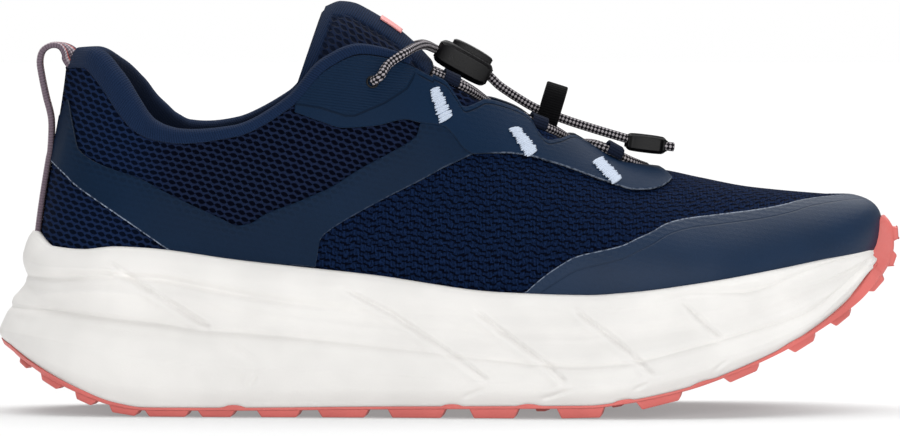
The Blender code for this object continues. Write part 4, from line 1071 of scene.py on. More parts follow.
def tongue_finish(colours):
    """Rib knit round the tongue's edge and chunky open mesh inside it."""

    def build(t):
        x, y, _ = t.parts(t.surface())
        upright_rib = t.rib(y, 0.0008)
        swapped = t.add("CombineXYZ", {0: y, 1: x})
        hole = t.group(open_holes(), vector=swapped, pitch=0.003, row=0.0022, turn=-0.35)["Hole"]
        grain = t.grain(0.0004)
        border, pit = t.mark("border"), shaded(colours.mesh_hole)
        rib = t.mix(upright_rib, shaded(colours.jersey, 0.45), shaded(colours.jersey))
        colour = t.mix(border, t.mix(hole, shaded(colours.mesh, 1.3), pit), rib)
        colour = t.mix(t.mark("seam") * 0.85, colour, pit)
        colour = t.mix(grain["Shade"] * 0.2, colour, shaded(colours.jersey, 1.2))
        height = upright_rib * 0.22 * border + hole * -0.4 * (1 - border)
        return {"Base Color": colour, "Height": height + grain["Grain"] * 0.06}

    return finish("tongue knit", 0.9, build, **SOFT_CLOTH)


def cord_finish(colours):
    def build(t):
        woven = t.group(braid(), vector=t.surface())
        colour = t.mix(woven["Pale"], shaded(colours.cord_dark), shaded(colours.cord_pale))
        return {"Base Color": colour, "Height": woven["Crest"] * 0.12}

    return finish("braided cord", 0.85, build, Specular_IOR_Level=0.15)


def webbing_finish(name, colour):
    def build(t):
        x, y, _ = t.parts(t.surface())
        weave = t.rib(y, 0.0008) * t.ramp(t.rib(x, 0.0011), 0.0, 1.0, 0.6, 1.0)
        shade = t.mix(weave, shaded(colour, 0.4), shaded(colour, 1.2))
        shade = t.mix(t.speckle(0.5) * 0.3, shade, shaded(colour, 1.6))
        return {"Base Color": shade, "Height": weave * 0.16}

    return finish(name, 0.85, build, Specular_IOR_Level=0.12)


def stripe_finish(colours):
    """Heel tape: a mauve ground with pale, salmon and dark stripes along it."""

    def build(t):
        x, y, _ = t.parts(t.surface())
        weft = t.rib(y, 0.0009)
        stripe = t.math("FRACT", (x + 0.0007) / 0.0044)
        colour = t.mix(t.ramp(stripe, 0.42, 0.48), shaded(colours.tape), shaded(colours.tape_pale))
        colour = t.mix(t.ramp(stripe, 0.72, 0.76), colour, shaded(colours.rubber, 0.85))
        colour = t.mix(t.ramp(stripe, 0.9, 0.93), colour, shaded(colours.mesh))
        colour = t.mix(t.ramp(weft, 0.0, 0.5, 0.45, 0.0), colour, shaded(colours.mesh_hole))
        return {"Base Color": colour, "Height": weft * 0.18}

    return finish("striped heel tape", 0.85, build)


def thread_finish(colours):
    def build(t):
        noise = t.speckle(0.35)
        colour = t.mix(noise, shaded(colours.thread, 0.75), shaded(colours.thread, 1.1))
        return {"Base Color": colour, "Height": noise * 0.08}

    return finish("tack thread", 0.75, build)


def floor_finish(colours):
    """A white table that glows a little, so that shadows on it stay pale."""

    def build(t):
        return {"Base Color": t.mix(t.speckle(180.0), shaded(colours.floor, 0.985), shaded(colours.floor))}

    glow = {"Emission Color": (1, 1, 1, 1), "Emission Strength": 0.25, "Specular IOR Level": 0.0}
    return finish("studio floor", 1.0, build, **glow)


# Sizes and colours that a user would change
def size(name, description, default):
    """A length property, its default given in millimetres."""
    limits = {"default": default * MM, "min": 0.1 * MM, "precision": 5}
    return FloatProperty(name=name, description=description, subtype="DISTANCE", unit="LENGTH", **limits)


def tint(name, description, red, green, blue):
    """A colour property, its default given as it looks on a screen, from 0 to 255."""
    shown = np.array([red, green, blue]) / 255
    linear = np.where(shown <= 0.04045, shown / 12.92, ((shown + 0.055) / 1.055) ** 2.4)
    default = tuple(float(c) for c in linear)
    return FloatVectorProperty(name=name, description=description, default=default, min=0, max=1, subtype="COLOR")


class SneakerSizes(bpy.types.PropertyGroup):
    """Sizes of the pieces."""

    wall: size("Wall", "Thickness of the upper", 2.2)
    film: size("Film", "Thickness of the welded films", 0.6)
    film_face: size("Film face", "Outer face of the films over the upper", 0.85)
    cord: size("Cord", "Radius of the lace", 1.4)
    webbing: size("Webbing", "Thickness of the lace loops", 0.9)
    loop_width: size("Loop width", "Width of the lace loops", 5.4)
    tape_width: size("Heel tape width", "Width of the heel loop", 11.0)
    tape: size("Heel tape", "Thickness of the heel loop", 1.9)
    relief: FloatProperty(
        name="Foam relief",
        description="Strength of the facets in the foam",
        default=1.45,
        min=0,
        max=3,
        subtype="FACTOR",
    )


class SneakerColours(bpy.types.PropertyGroup):
    """Colours of the finishes."""

    foam: tint("Foam", "Midsole foam", 240, 238, 235)
    rubber: tint("Rubber", "Tread and toe bumper", 222, 112, 106)
    mesh: tint("Mesh", "Yarn of the open mesh", 17, 25, 45)
    mesh_hole: tint("Mesh holes", "Depth of the mesh holes", 2, 4, 16)
    vamp: tint("Vamp", "Yarn of the closed knit over the toes", 12, 26, 52)
    film: tint("Film", "Welded films on the upper", 16, 36, 60)
    cut_edge: tint("Cut edge", "Cut edge of the films", 150, 162, 182)
    jersey: tint("Jersey", "Collar cloth and tongue edge", 22, 38, 65)
    lining: tint("Lining", "Cloth inside the upper", 16, 22, 36)
    insole: tint("Insole", "Cloth over the insole", 58, 62, 70)
    cord_dark: tint("Cord dark", "Dark strands of the lace", 16, 16, 22)
    cord_pale: tint("Cord pale", "Pale strands of the lace", 168, 162, 166)
    webbing: tint("Webbing", "Lace loops", 18, 26, 44)
    keeper: tint("Keeper", "Black tab that keeps the lace", 8, 8, 10)
    plastic: tint("Plastic", "Cord lock and clip", 9, 9, 11)
    tape: tint("Heel tape", "Ground of the heel loop", 116, 100, 112)
    tape_pale: tint("Heel tape stripe", "Pale stripe of the heel loop", 188, 176, 182)
    thread: tint("Thread", "Bar tacks", 200, 212, 230)
    # The label's pink is set paler than the patch itself: partly painted sheen
    label: tint("Label", "Bare patch on the tongue", 238, 158, 156)
    floor: tint("Floor", "Studio floor", 211, 211, 211)


def settings(context):
    """The sizes, lengths among them in millimetres, and the colours."""
    group, sizes = context.scene.sneaker_sizes, SimpleNamespace()
    for name in group.__annotations__:
        per_unit = MM if group.bl_rna.properties[name].unit == "LENGTH" else 1
        setattr(sizes, name, getattr(group, name) / per_unit)
    return sizes, context.scene.sneaker_colours


# Sole
def facet_relief(x, z, lip, foot):
    """How far the midsole's side stands out of its plain wall, by its facets and creases."""
    heights = [foot] + [FACETS.at(f"z{k}", x) for k in (5, 4, 3, 2, 1)] + [lip]
    stands = [-0.8 + 0 * x] + [FACETS.at(f"d{k}", x) for k in (5, 4, 3, 2, 1)] + [0 * x]
    out = np.zeros_like(x)
    for low, high, first, last in zip(heights, heights[1:], stands, stands[1:]):
        share = np.clip((z - low) / np.maximum(high - low, 0.1), 0, 1)
        out = np.where(z >= low, first + (last - first) * share, out)
    for name, share in (("d2", 0.4), ("d4", 0.5)):
        off = z - FACETS.at(name.replace("d", "z"), x)
        deep = share * np.maximum(-FACETS.at(name, x), 0)
        out = out - deep * bell(off, FACET_GROOVE) + 0.5 * deep * bell(off + FACET_LEDGE, FACET_LEDGE_WIDE)
    for depth, *stops in CREASES:
        best, beside, run = beside_line(stops, x, z)
        reach = lengths(np.array(stops))[-1]
        taper = smooth_step(run / min(CREASE_FADE_IN, reach / 2))
        taper = taper * smooth_step((reach - run) / min(CREASE_FADE_OUT, reach / 2))
        out = out - taper * depth * bell(best, CREASE_GROOVE)
        out = out + taper * depth * 0.5 * bell(beside - CREASE_LEDGE, CREASE_LEDGE_WIDE) * (best < 5)
    return out


def around_stations(half):
    """Stations all round, with the seam at the heel closed."""
    return np.linspace(0, 2, 2 * half + 1)


def make_midsole(sizes, colours):
    """Foam cup with facets and creases in its side, a lip round its top and a bed inside it."""
    around = around_stations(MIDSOLE_STATIONS)
    _, normal, share, _ = OUTLINE.at(around)
    heights = np.linspace(0, 1, MIDSOLE_ROWS)
    sides = wall(around[None, :], heights[:, None])
    lip, foot = sides[-1, :, 2], sides[0, :, 2]
    out = facet_relief(sides[..., 0], sides[..., 2], lip[None, :], foot[None, :]) * sizes.relief
    fade = (smooth_step(heights / FOOT_FADE) * smooth_step((1 - heights) / LIP_FADE))[:, None]
    fade = fade * (0.5 + 0.5 * smooth_step((share - HEEL_FADE_FROM) / HEEL_FADE))
    fade = fade * smooth_step((TOE_FADE_FROM - share) / TOE_FADE)
    sides[..., :2] += normal[None] * (out * fade)[..., None]
    inner = raised(wall(around, 1.0)[:, :2] - normal * rim_width(share)[:, None], lip)
    bed = inner.copy()
    bed[:, 2] = SOLE_LINES.at("bed", bed[:, 0])
    under = [across(sides[0], around, s, lambda x: SOLE_LINES.at("foot", x)) for s in (0, 0.3, 0.6, 0.85)]
    floor = [across(bed, around, s, lambda x: SOLE_LINES.at("bed", x)) for s in (0.85, 0.5, 0)]
    half_rim = (sides[-1] + inner) / 2 + UP * RIM_CROWN
    rows = np.stack([*under, *sides, half_rim, inner, bed, *floor])
    made = new_mesh()
    skin(made, rows, rows[..., [0, 2]])
    piece("foam_midsole", made, [foam_finish(colours)], ["midsole"])


def make_insole(sizes, colours):
    """Insole with a raised edge and a cloth face."""
    around = around_stations(INSOLE_STATIONS)
    plan, normal, share, _ = OUTLINE.at(around)
    edge = lip_inset(share) + rim_width(share) + GAP + sizes.wall + INSOLE_ROOM

    def ring(inset, lift):
        spots = plan - normal * (edge + inset)[:, None]
        return raised(spots, SOLE_LINES.at("bed", spots[:, 0]) + lift)

    def face(lift):
        return lambda x: SOLE_LINES.at("bed", x) + lift

    rim = [ring(*stop) for stop in INSOLE_EDGE]
    top = ring(INSOLE_INSET, INSOLE_FLAT)
    under = [across(rim[0], around, s, face(GAP)) for s in (0, 0.5)]
    over = [across(top, around, s, face(INSOLE_FLAT)) for s in (1, 0.75, 0.5, 0.25, 0)]
    rows = np.stack([*under, *rim, *over])
    made = new_mesh()
    skin(made, rows, rows[..., [0, 1]])
    obj = piece("insole_pad", made, [insole_finish(colours)], ["insole"])


def tread_spot(x, y, depth):
    """A place under the sole, at a depth square to the foot line that is seen from the side."""
    x = np.asarray(x, float)
    turn = foot_turn(x)
    return np.stack([x + np.sin(turn) * depth, y + 0 * x, SOLE_LINES.at("foot", x) - np.cos(turn) * depth], axis=-1)


def foot_turn(x):
    """Angle of the foot line to the floor."""
    return np.arctan(SOLE_LINES.at("foot", x + 0.5) - SOLE_LINES.at("foot", x - 0.5))


def upright(x):
    """The x at the foot line of a lug that is seen at x from the side."""
    return x - np.sin(foot_turn(x)) * 0.7 * SOLE_LINES.at("depth", x)


def lug(made, corners, place, low, high, narrow):
    """Adds one lug: four corners on a face, the depths of its root and tread, and how far it narrows."""
    cube = bmesh.ops.create_cube(made, size=2.0)["verts"]
    corners = np.array(corners, float)
    reach = corners - corners.mean(axis=0)
    ease = np.minimum(narrow, 0.45 * np.abs(reach).min(axis=0))
    small = corners - np.sign(reach) * ease
    order = {(-1, -1): 0, (1, -1): 1, (1, 1): 2, (-1, 1): 3}
    for vert in cube:
        k = order[round(vert.co.x), round(vert.co.y)]
        (x, y), depth = (corners[k], low) if vert.co.z > 0 else (small[k], high(small[k][0]))
        vert.co = place(x, y, depth) * MM
    edges = list({e for v in cube for e in v.link_edges})
    bevel(made, edges, LUG_BEVEL, 2)


def tread_lug(made, corners, side, depth):
    """Adds a lug under the sole, its corners given as on the lateral side."""
    lug(made, corners if side < 0 else corners[::-1], tread_spot, LUG_ROOT, depth, LUG_NARROW)


def toe_drop(y):
    """How far the toe's outline lies behind its tip."""
    plan = OUTLINE.at(np.linspace(0.88, 1.12, 200))[0]
    return TOE_X - np.interp(y, plan[:, 1], plan[:, 0])


def bumper_spot(step, y, out, names=("x2", "z2"), wrap=0.45):
    """A place on the toe bumper: its step up the toe, and a distance out of its outer face."""
    inner, outer = (np.stack([BUMPER.at(k, step) for k in pair], axis=-1) for pair in (("x", "z"), ("x2", "z2")))
    start = np.stack([BUMPER.at(k, step) for k in names], axis=-1)
    spot = start + unit(outer - inner) * np.asarray(out)[..., None]
    y = y + 0 * spot[..., 0]
    return np.stack([spot[..., 0] - wrap * toe_drop(y), y, spot[..., 1]], axis=-1)


def bumper_skin(made):
    """Adds the band of rubber that runs up in front of the toe, and its lugs."""
    steps, across_by = np.meshgrid(np.linspace(0, 7, 57), np.linspace(-1, 1, 41), indexing="ij")
    axis = SOLE_SIDES.at("axis", 138.0)
    y = axis + across_by * BUMPER.at("half", steps)
    outer = bumper_spot(steps, y, -0.8 * np.abs(across_by) ** 14)
    inner = bumper_spot(steps, y, 0 * steps, ("x", "z"), 1.0)
    spots = np.concatenate([outer, inner[:, ::-1], outer[:, :1]], axis=1)
    tube(made, spots, spots[..., [1, 2]])
    for first, last in BUMPER_LUGS:
        wide = 0.9 * float(BUMPER.at("half", last))
        for near, far in ((axis - wide, axis - BUMPER_SLOT), (axis + BUMPER_SLOT, axis + wide)):
            corners = [(first, near), (last, near), (last, far), (first, far)]
            lug(made, corners, bumper_spot, BUMPER_ROOT, lambda step: BUMPER_LUG, BUMPER_NARROW)


def make_outsole(_, colours):
    """Thin rubber plate that turns up at heel and toe, with its lugs and the toe bumper."""
    around = around_stations(OUTSOLE_STATIONS)
    made = new_mesh()
    edge, share = wall(around, 0.0), OUTLINE.at(around)[2]
    hump = sum(np.clip(1 - ((edge[:, 0] - x) / HUMP_HALF) ** 2, 0, 1) ** 0.7 for x in HUMPS) * HUMP_RISE
    side = np.interp(share, *RUBBER_EDGE) + hump / FOAM_TALL
    line = np.linspace(-143, 139, 400)
    under = tread_spot(line, 0, GAP + SOLE_LINES.at("plate", line))

    def bottom(x):
        return np.interp(x, under[:, 0], under[:, 2])

    rim = wall(around, 0.0, PLATE_LOW)
    low = tread_spot(rim[:, 0], rim[:, 1], GAP + SOLE_LINES.at("plate", rim[:, 0]))
    belly = wall(around, 0.0, PLATE_BELLY)
    rows = [across(low, around, s, bottom) for s in (0, 0.3, 0.6, 0.85)]
    rows += [low, tread_spot(belly[:, 0], belly[:, 1], 0.5), wall(around, side * 0.6, PLATE_SIDE)]
    rows += [wall(around, side, PLATE_TOP), wall(around, side, PLATE_UNDER)]
    lid = wall(around, 0.0, LID_UNDER)
    rows += [across(lid, around, s, lambda x: SOLE_LINES.at("foot", x) - LID_DROP) for s in (1, 0.85, 0.4, 0)]
    rows = np.stack(rows)
    skin(made, rows, rows[..., [0, 1]])
    weld(made)
    bumper_skin(made)

    def full_depth(x):
        return SOLE_LINES.at("depth", x)

    def low_depth(x):
        return SOLE_LINES.at("depth", x) - MIDDLE_SHORT

    half = len(around) // 2
    lines = {-1: edge[: half + 1], 1: edge[half:][::-1]}
    for first, last in EDGE_LUGS:
        ends = (upright(first), upright(last))
        y_of = {k: [np.interp(e, line[:, 0], line[:, 1]) for e in ends] for k, line in lines.items()}
        deep = min(LUG_DEEP, LUG_SHARE * (y_of[1][1] - y_of[-1][1]))
        for side_of in (-1, 1):
            outer = [(e, y + side_of * 0.5) for e, y in zip(ends, y_of[side_of])]
            inner = [(e + deep * LUG_SLANT, y - side_of * deep) for e, y in outer]
            tread_lug(made, [outer[0], outer[1], inner[1], inner[0]], side_of, full_depth)
    for x, half_long in MIDDLE_LUGS:
        middle = sum(np.interp(x, line[:, 0], line[:, 1]) for line in lines.values()) / 2
        back, front = x - half_long, x + half_long
        for side_of in (-1, 1):
            near, far = middle + side_of * MIDDLE_NEAR, middle + side_of * MIDDLE_FAR
            corners = [(back, far), (front - MIDDLE_SKEW, far), (front, near), (back + MIDDLE_SKEW, near)]
            tread_lug(made, corners, side_of, low_depth)
    rubber = rubber_finish(colours)
    piece("rubber_outsole", made, [rubber], ["outsole"], sharp=40, recalc=True)


# Upper and what is welded or sewn on it
def make_upper(sizes, colours):
    """The knit shell, with marks where its vamp and its heel are."""
    around = around_stations(UPPER_STATIONS)
    grid = upper(around, np.linspace(0, 1, UPPER_ROWS))
    floor = grid[0].copy()
    floor[:, 2] = SOLE_LINES.at("bed", floor[:, 0]) + GAP
    spots = np.concatenate([floor[None], grid])
    uv = np.stack([spots[..., 0], lengths(spots)], axis=-1)
    x, z = spots[..., 0], spots[..., 2]
    vamp = smooth_step((x - VAMP_X - (z - VAMP_Z) * VAMP_SLOPE) / VAMP_BLEND)
    heel = smooth_step((HEEL_MESH_X - x) / HEEL_MESH_BLEND)
    made = new_mesh("vamp", "heel")
    skin(made, spots, uv, vamp=vamp, heel=heel)
    obj = piece("knit_upper", made, [mesh_finish(colours), lining_finish(colours)], ["upper"])
    thicken(obj, sizes.wall, inner=1)


def film_sheet(around, low, high, rows, lift, pale_low, pale_high):
    """A sheet over the upper between two rows of each station; pale tells where its cut edge shows."""
    high = np.maximum(high, low + 0.004)
    share = np.linspace(0, 1, rows)[:, None]
    grid, normals = upper_face(around, low + (high - low) * share)
    spots = grid + normals * lift
    run = lengths(spots)
    uv = np.stack([spots[..., 0], run + grid[:1, :, 2]], axis=-1)
    from_high = run[-1] - run
    x = spots[..., 0]
    marks = {
        "from_high": from_high,
        "from_edge": np.minimum(run, from_high),
        "pale": np.where(run < from_high, pale_low(x), pale_high(x)),
        "pressed": np.where(x < PRESSED[-1][0], above(PRESSED, x, spots[..., 2]), -3.0),
    }
    made = new_mesh(*marks)
    skin(made, spots, uv, **marks)
    return made


def plain_edge(x):
    return 0 * x


def quarter_edge(x):
    return np.where(x < -80, 0.9, 0.12)


def eyestay_edge(x):
    return smooth_step((x - 10) / 10) * 0.4


def rand_edge(x):
    return 0.6 + 0 * x


def one_side(ends, side):
    """Stations between two shares of one side, in the order that keeps faces outwards."""
    share = np.linspace(*ends, SIDE_STATIONS)
    return share if side < 0 else 2 - share[::-1]


def make_films(sizes, colours):
    """The welded films: quarter and eyestay on both sides, and the rand round the toe."""
    edge = cut_edge_finish(colours)
    # These three finishes are lit and shaded copies of one film colour: painted light
    plain = film_finish(colours, "quarter film", *QUARTER_LOOK)
    lined = film_finish(colours, "eyestay film", *EYESTAY_LOOK)
    toe = film_finish(colours, "toe film", *TOE_LOOK)

    def add(name, node, look, *shape):
        obj = piece(name, film_sheet(*shape), [look, edge], [node])
        thicken(obj, sizes.film, rim=1)

    lift = sizes.film_face
    for word, side in SIDES.items():
        around = one_side(QUARTER_RANGE, side)
        low, high = (edge_rows(around, QUARTER_EDGES, k) for k in ("low", "high"))
        shape = (around, np.maximum(low, QUARTER_LOW_ROW), high, FILM_ROWS, lift, quarter_edge, plain_edge)
        add("quarter_sheet_" + word, "quarter_film_" + word, plain, *shape)
        around = one_side(EYESTAY_RANGE, side)
        low, high = (edge_rows(around, EYESTAY_EDGES, k) for k in ("low", "high"))
        high = np.minimum(high, np.where(OUTLINE.at(around)[2] < 0.5, 0.985, 1.1))
        wide = high - low > 0.01
        shape = (around[wide], low[wide], high[wide], EYESTAY_ROWS, lift + EYESTAY_LIFT, eyestay_edge, plain_edge)
        add("eyestay_sheet_" + word, "eyestay_" + word, lined, *shape)
    around = np.linspace(RAND_FROM, 2 - RAND_FROM, RAND_STATIONS)
    high = np.minimum(edge_rows(around, RAND_EDGES, "high"), RAND_TOE_ROW)
    soft = np.convolve(np.pad(high, 24, mode="edge"), np.full(49, 1 / 49), "valid")
    high = high + (soft - high) * smooth_step((OUTLINE.at(around)[2] - 0.84) / 0.06)
    low, high = np.full(len(around), RAND_LOW_ROW), np.maximum(high, RAND_LEAST_ROW)
    add("toe_sheet", "toe_rand", toe, around, low, high, FILM_ROWS, lift, plain_edge, rand_edge)


def make_collar(sizes, colours):
    """Padded cuff: a roll over the upper's top edge and a lining inside it."""
    around = np.linspace(-COLLAR_END, COLLAR_END, COLLAR_STATIONS)
    share = OUTLINE.at(around)[2]
    roll, pad, bulge = (COLLAR.at(k, share)[:, None] for k in ("roll", "pad", "bulge"))
    low = COLLAR.at("low", share)
    rows = np.array([low, low + (1 - low) * 0.5, low + (1 - low) * 0.85, np.ones(len(around))])
    grid, normals = upper_face(around, rows)
    top, out = grid[-1], normals[-1]
    up = unit(np.cross(np.gradient(top, axis=0), out))
    up *= np.sign(up[:, 2:])
    pad = pad + sizes.wall
    reach = sizes.wall + GAP
    section = np.stack(
        [
            top + out * 0.7 * np.maximum(bulge, 0.3) - up * 0.6,
            top + out * (1.4 * bulge - 0.3) + up * roll * 0.3,
            top + out * (1.8 * bulge - 1.0) + up * roll * 0.7,
            top + out * (1.2 * bulge - 2.0) + up * roll * 1.0,
            top - out * pad * 0.5 + up * roll * 1.1,
            top - out * pad * 0.85 + up * roll * 0.85,
            top - out * pad + up * roll * 0.3,
            grid[2] - normals[2] * pad,
            grid[1] - normals[1] * (pad * 0.9 + 0.2),
            grid[0] - normals[0] * (reach + 0.9),
            grid[0] - normals[0] * reach,
            grid[1] - normals[1] * reach,
            grid[2] - normals[2] * reach,
            top - out * reach + up * GAP,
        ],
        axis=1,
    )
    dense = np.array([closed_curve(points, COLLAR_STEPS) for points in section])
    edge = lengths(dense.swapaxes(0, 1)).T
    along = np.broadcast_to(lengths(top)[:, None], edge.shape)
    # inside: the cuff's lining side, which the finish paints darker than the lining cloth as painted shade
    inside = smooth_step((np.arange(dense.shape[1]) / COLLAR_STEPS - 4.2) / 1.6)
    made = new_mesh("inside")
    tube(made, dense, np.stack([along, edge], axis=-1), inside=np.broadcast_to(inside, edge.shape))
    obj = piece("padded_collar", made, [jersey_finish(colours)], ["collar"], recalc=True)


def closed_curve(stops, steps):
    """A smooth closed path through its stops, ending where it starts."""
    count = len(stops)
    looped = np.vstack([stops[-2:], stops, stops[:3]])
    path = curve_through(looped, steps)
    return path[2 * steps : (2 + count) * steps + 1]


# Tongue
def tongue_face(along, turn):
    """Inner face of the tongue, its outward directions and its thickness."""
    along, turn = np.meshgrid(along, turn, indexing="ij")
    at = {k: TONGUE.at(k, along) for k in TONGUE.columns}
    lean = np.radians(at["lean"])
    drop = at["drop"] * (1 - np.cos(turn)) / (1 - math.cos(TONGUE_SPREAD))
    x = at["x"] - np.sin(lean) * drop
    y = at["half"] * np.sin(turn) / math.sin(TONGUE_SPREAD) + SOLE_SIDES.at("axis", at["x"])
    grid = np.stack([x, y, at["z"] - np.cos(lean) * drop], axis=-1)
    normals = unit(np.cross(np.gradient(grid, axis=1), np.gradient(grid, axis=0)))
    normals *= np.sign(normals[:, :, 2:].mean())
    swell = np.cos(turn / TONGUE_SPREAD * math.pi / 2) ** 0.8
    return grid, normals, TONGUE_EDGE + (at["thick"] - TONGUE_EDGE) * swell


def make_tongue(_, colours):
    """Padded tongue with a seam inside its ribbed edge, and the bare label near its top."""
    along = np.r_[np.linspace(0, 0.66, 40), np.linspace(0.665, 1.0, 70)]
    turn = np.linspace(-TONGUE_SPREAD, TONGUE_SPREAD, 61)
    grid, normals, thick = tongue_face(along, turn)
    outer = grid + normals * thick[..., None]
    run, length = lengths(outer.swapaxes(0, 1)).T, lengths(outer)
    middle = np.abs(run - run[:, -1:] / 2)
    inset = np.minimum(length[-1:] - length - TONGUE_BORDER, middle - TONGUE_MESH_HALF)
    border = smooth_step((0.6 - inset) / 1.2)
    seam = bell(inset - 0.9, 0.5)
    outer = outer - normals * (seam * 0.7)[..., None]
    spots = np.concatenate([outer, grid[:, ::-1], outer[:, :1]], axis=1)

    def wrapped(values):
        return np.concatenate([values, values[:, ::-1], values[:, :1]], axis=1)

    uv = np.stack([wrapped(run), wrapped(length)], axis=-1)
    made = new_mesh("border", "seam")
    tube(made, spots, uv, border=wrapped(border), seam=wrapped(seam))
    obj = piece("padded_tongue", made, [tongue_finish(colours)], ["tongue"], recalc=True)
    along, turn = np.linspace(*LABEL_ALONG, 13), np.linspace(-LABEL_ACROSS, LABEL_ACROSS, 33)
    grid, normals, thick = tongue_face(along, turn)
    face = grid + normals * (thick[..., None] + GAP + LABEL_LIFT)
    made = new_mesh()
    skin(made, face, face[..., [0, 1]])
    bare = piece("bare_label", made, [label_finish(colours)], ["tongue_label"])
    thicken(bare, LABEL_THICK)


# Lace and its fittings
def loop_ends(loop, side):
    """The two places where the lace enters and leaves a loop."""
    x, y, z, x2, y2, z2 = (LOOP_STOPS.at(k, loop) for k in ("x", "y", "z", "x2", "y2", "z2"))
    return [np.array([a, side * b + SOLE_SIDES.at("axis", a), c]) for a, b, c in ((x, y, z), (x2, y2, z2))]


def cord_along(made, path, sizes):
    sweep(made, path, cord_sides(path), round_section(sizes.cord))


def lace_path(side):
    """One run of the lace: a loop on this side, the next one opposite, and back again."""
    stops = []
    for loop, way in ((1, side), (2, -side), (3, side)):
        ends = loop_ends(loop, way)
        if stops:
            stops.append((stops[-1] + ends[0]) / 2 - LACE_SAG * UP)
        stops += ends
    x, z = LACE_FRONT
    stops.append((x, SOLE_SIDES.at("axis", x), z))
    return rounded_path(stops, 4)


def make_tails(sizes, colours):
    """The two free ends of the lace, from the cord lock into their clip, and the clip."""
    cord = cord_finish(colours)
    clip = moulding("end_clip", CLIP_SIZE, CLIP_AT, CLIP_TILT, 1.7, colours, ["lace_clip"], groove=0.5)
    made = new_mesh()
    for apart in (-TAIL_APART, TAIL_APART):
        stops = [(x, apart * y, CLIP_AT[2] - (x - CLIP_AT[0]) * math.tan(CLIP_TILT)) for x, y in STUB]
        path = curve_through(stops, 4)
        cord_along(made, path, sizes)
    stubs = piece("cord_stubs", made, [cord], recalc=True)
    for apart, word in ((-TAIL_APART, "near"), (TAIL_APART, "far")):
        path = curve_through([(x, apart, z) for x, z in TAIL], 6)
        made = new_mesh()
        into_lock = path[0] + (path[0] - path[1]) * (4.0, 1, 4.0)
        into_clip = path[-1] + (path[-1] - path[-2]) * (2.0, 1, 2.0)
        drawn = np.vstack([into_lock, path, into_clip])
        cord_along(made, drawn, sizes)
        obj = piece("free_end_" + word, made, [cord], ["lace_tail_" + word], recalc=True)
        path[0] * MM
        path * MM


def webbing_loop(loop, side, sizes):
    """Mesh of one loop: a strap bent round the lace, with a tab under the eyestay."""
    first, second = loop_ends(loop, side)
    middle, ahead = (first + second) / 2, unit(second - first)
    inward = unit(np.cross(ahead, UP)) * side
    over = unit(np.cross(ahead, inward))
    over *= np.sign(over[2])
    reach = sizes.cord + LOOP_ROOM + sizes.webbing / 2
    turn = np.radians(np.linspace(LOOP_FROM, LOOP_TO, 25))
    path = [middle + reach * (inward * math.cos(a) + over * math.sin(a)) for a in turn]
    path.insert(0, path[0] - over * LOOP_TAB)
    made = new_mesh()
    sweep(made, path, ahead, strap_section(sizes.loop_width, sizes.webbing))
    return made


def make_lace(sizes, colours):
    """The lace's crossings, its runs up to the cord lock, its loops and the keeper."""
    cord = cord_finish(colours)
    webbing = webbing_finish("loop webbing", colours.webbing)
    made = new_mesh()
    for side in (-1, 1):
        path = lace_path(side)
        cord_along(made, path, sizes)
    piece("lace_crossings", made, [cord], ["lace"], recalc=True)
    for word, side in SIDES.items():
        for loop in (1, 2, 3):
            made = webbing_loop(loop, side, sizes)
            name = f"{word}_{loop}"
            piece("webbing_loop_" + name, made, [webbing], ["lace_loop_" + name], recalc=True)
        spot, look = on_upper(*EYELET, side)
        start = spot + look * (sizes.film_face + 0.2)
        stops = [start, spot + look * 2.6 + (2.2, 0, 1.4)]
        stops += [(x, side * y, z) for x, y, z in RUN]
        path = curve_through(stops, 6)
        made = new_mesh()
        cord_along(made, path, sizes)
        piece("lace_to_lock_" + word, made, [cord], ["lace_run_" + word], recalc=True)
        eyelet_ring(word, spot + look * (sizes.film_face + 0.1), look, colours)
    turn = np.linspace(0, math.pi, 25)
    side = np.r_[-KEEPER_REACH, -KEEPER_REACH * np.cos(turn), KEEPER_REACH]
    height = np.r_[KEEPER_LOW, KEEPER_HIGH - KEEPER_REACH * (1 - np.sin(turn)), KEEPER_LOW]
    path = np.column_stack([KEEPER_X + (height - KEEPER_MIDDLE) * KEEPER_LEAN, side, height])
    made = new_mesh()
    sweep(made, path, (0.95, 0, -KEEPER_LEAN), strap_section(KEEPER_WIDTH, KEEPER_THICK))
    keeper = webbing_finish("keeper webbing", colours.keeper)
    piece("lace_tab", made, [keeper], ["lace_keeper"], recalc=True)


def eyelet_ring(word, spot, look, colours):
    """A round-edged ring where the lace leaves the eyestay."""
    made = new_mesh()
    ring = bmesh.ops.create_circle(made, segments=12, radius=EYELET_WIRE * MM, cap_ends=False)["verts"]
    bmesh.ops.rotate(made, verts=ring, cent=(0, 0, 0), matrix=Matrix.Rotation(math.pi / 2, 3, "X"))
    bmesh.ops.translate(made, verts=ring, vec=(EYELET_RADIUS * MM, 0, 0))
    bmesh.ops.spin(
        made,
        geom=made.verts[:] + made.edges[:],
        cent=(0, 0, 0),
        axis=(0, 0, 1),
        angle=2 * math.pi,
        steps=32,
        use_merge=True,
    )
    tilt = np.array([unit(np.cross(UP, look)), unit(np.cross(look, np.cross(UP, look))), look])
    for vert in made.verts:
        vert.co = np.array(vert.co) @ tilt + spot * MM
    piece("top_eyelet_" + word, made, [plastic_finish(colours)], recalc=True)


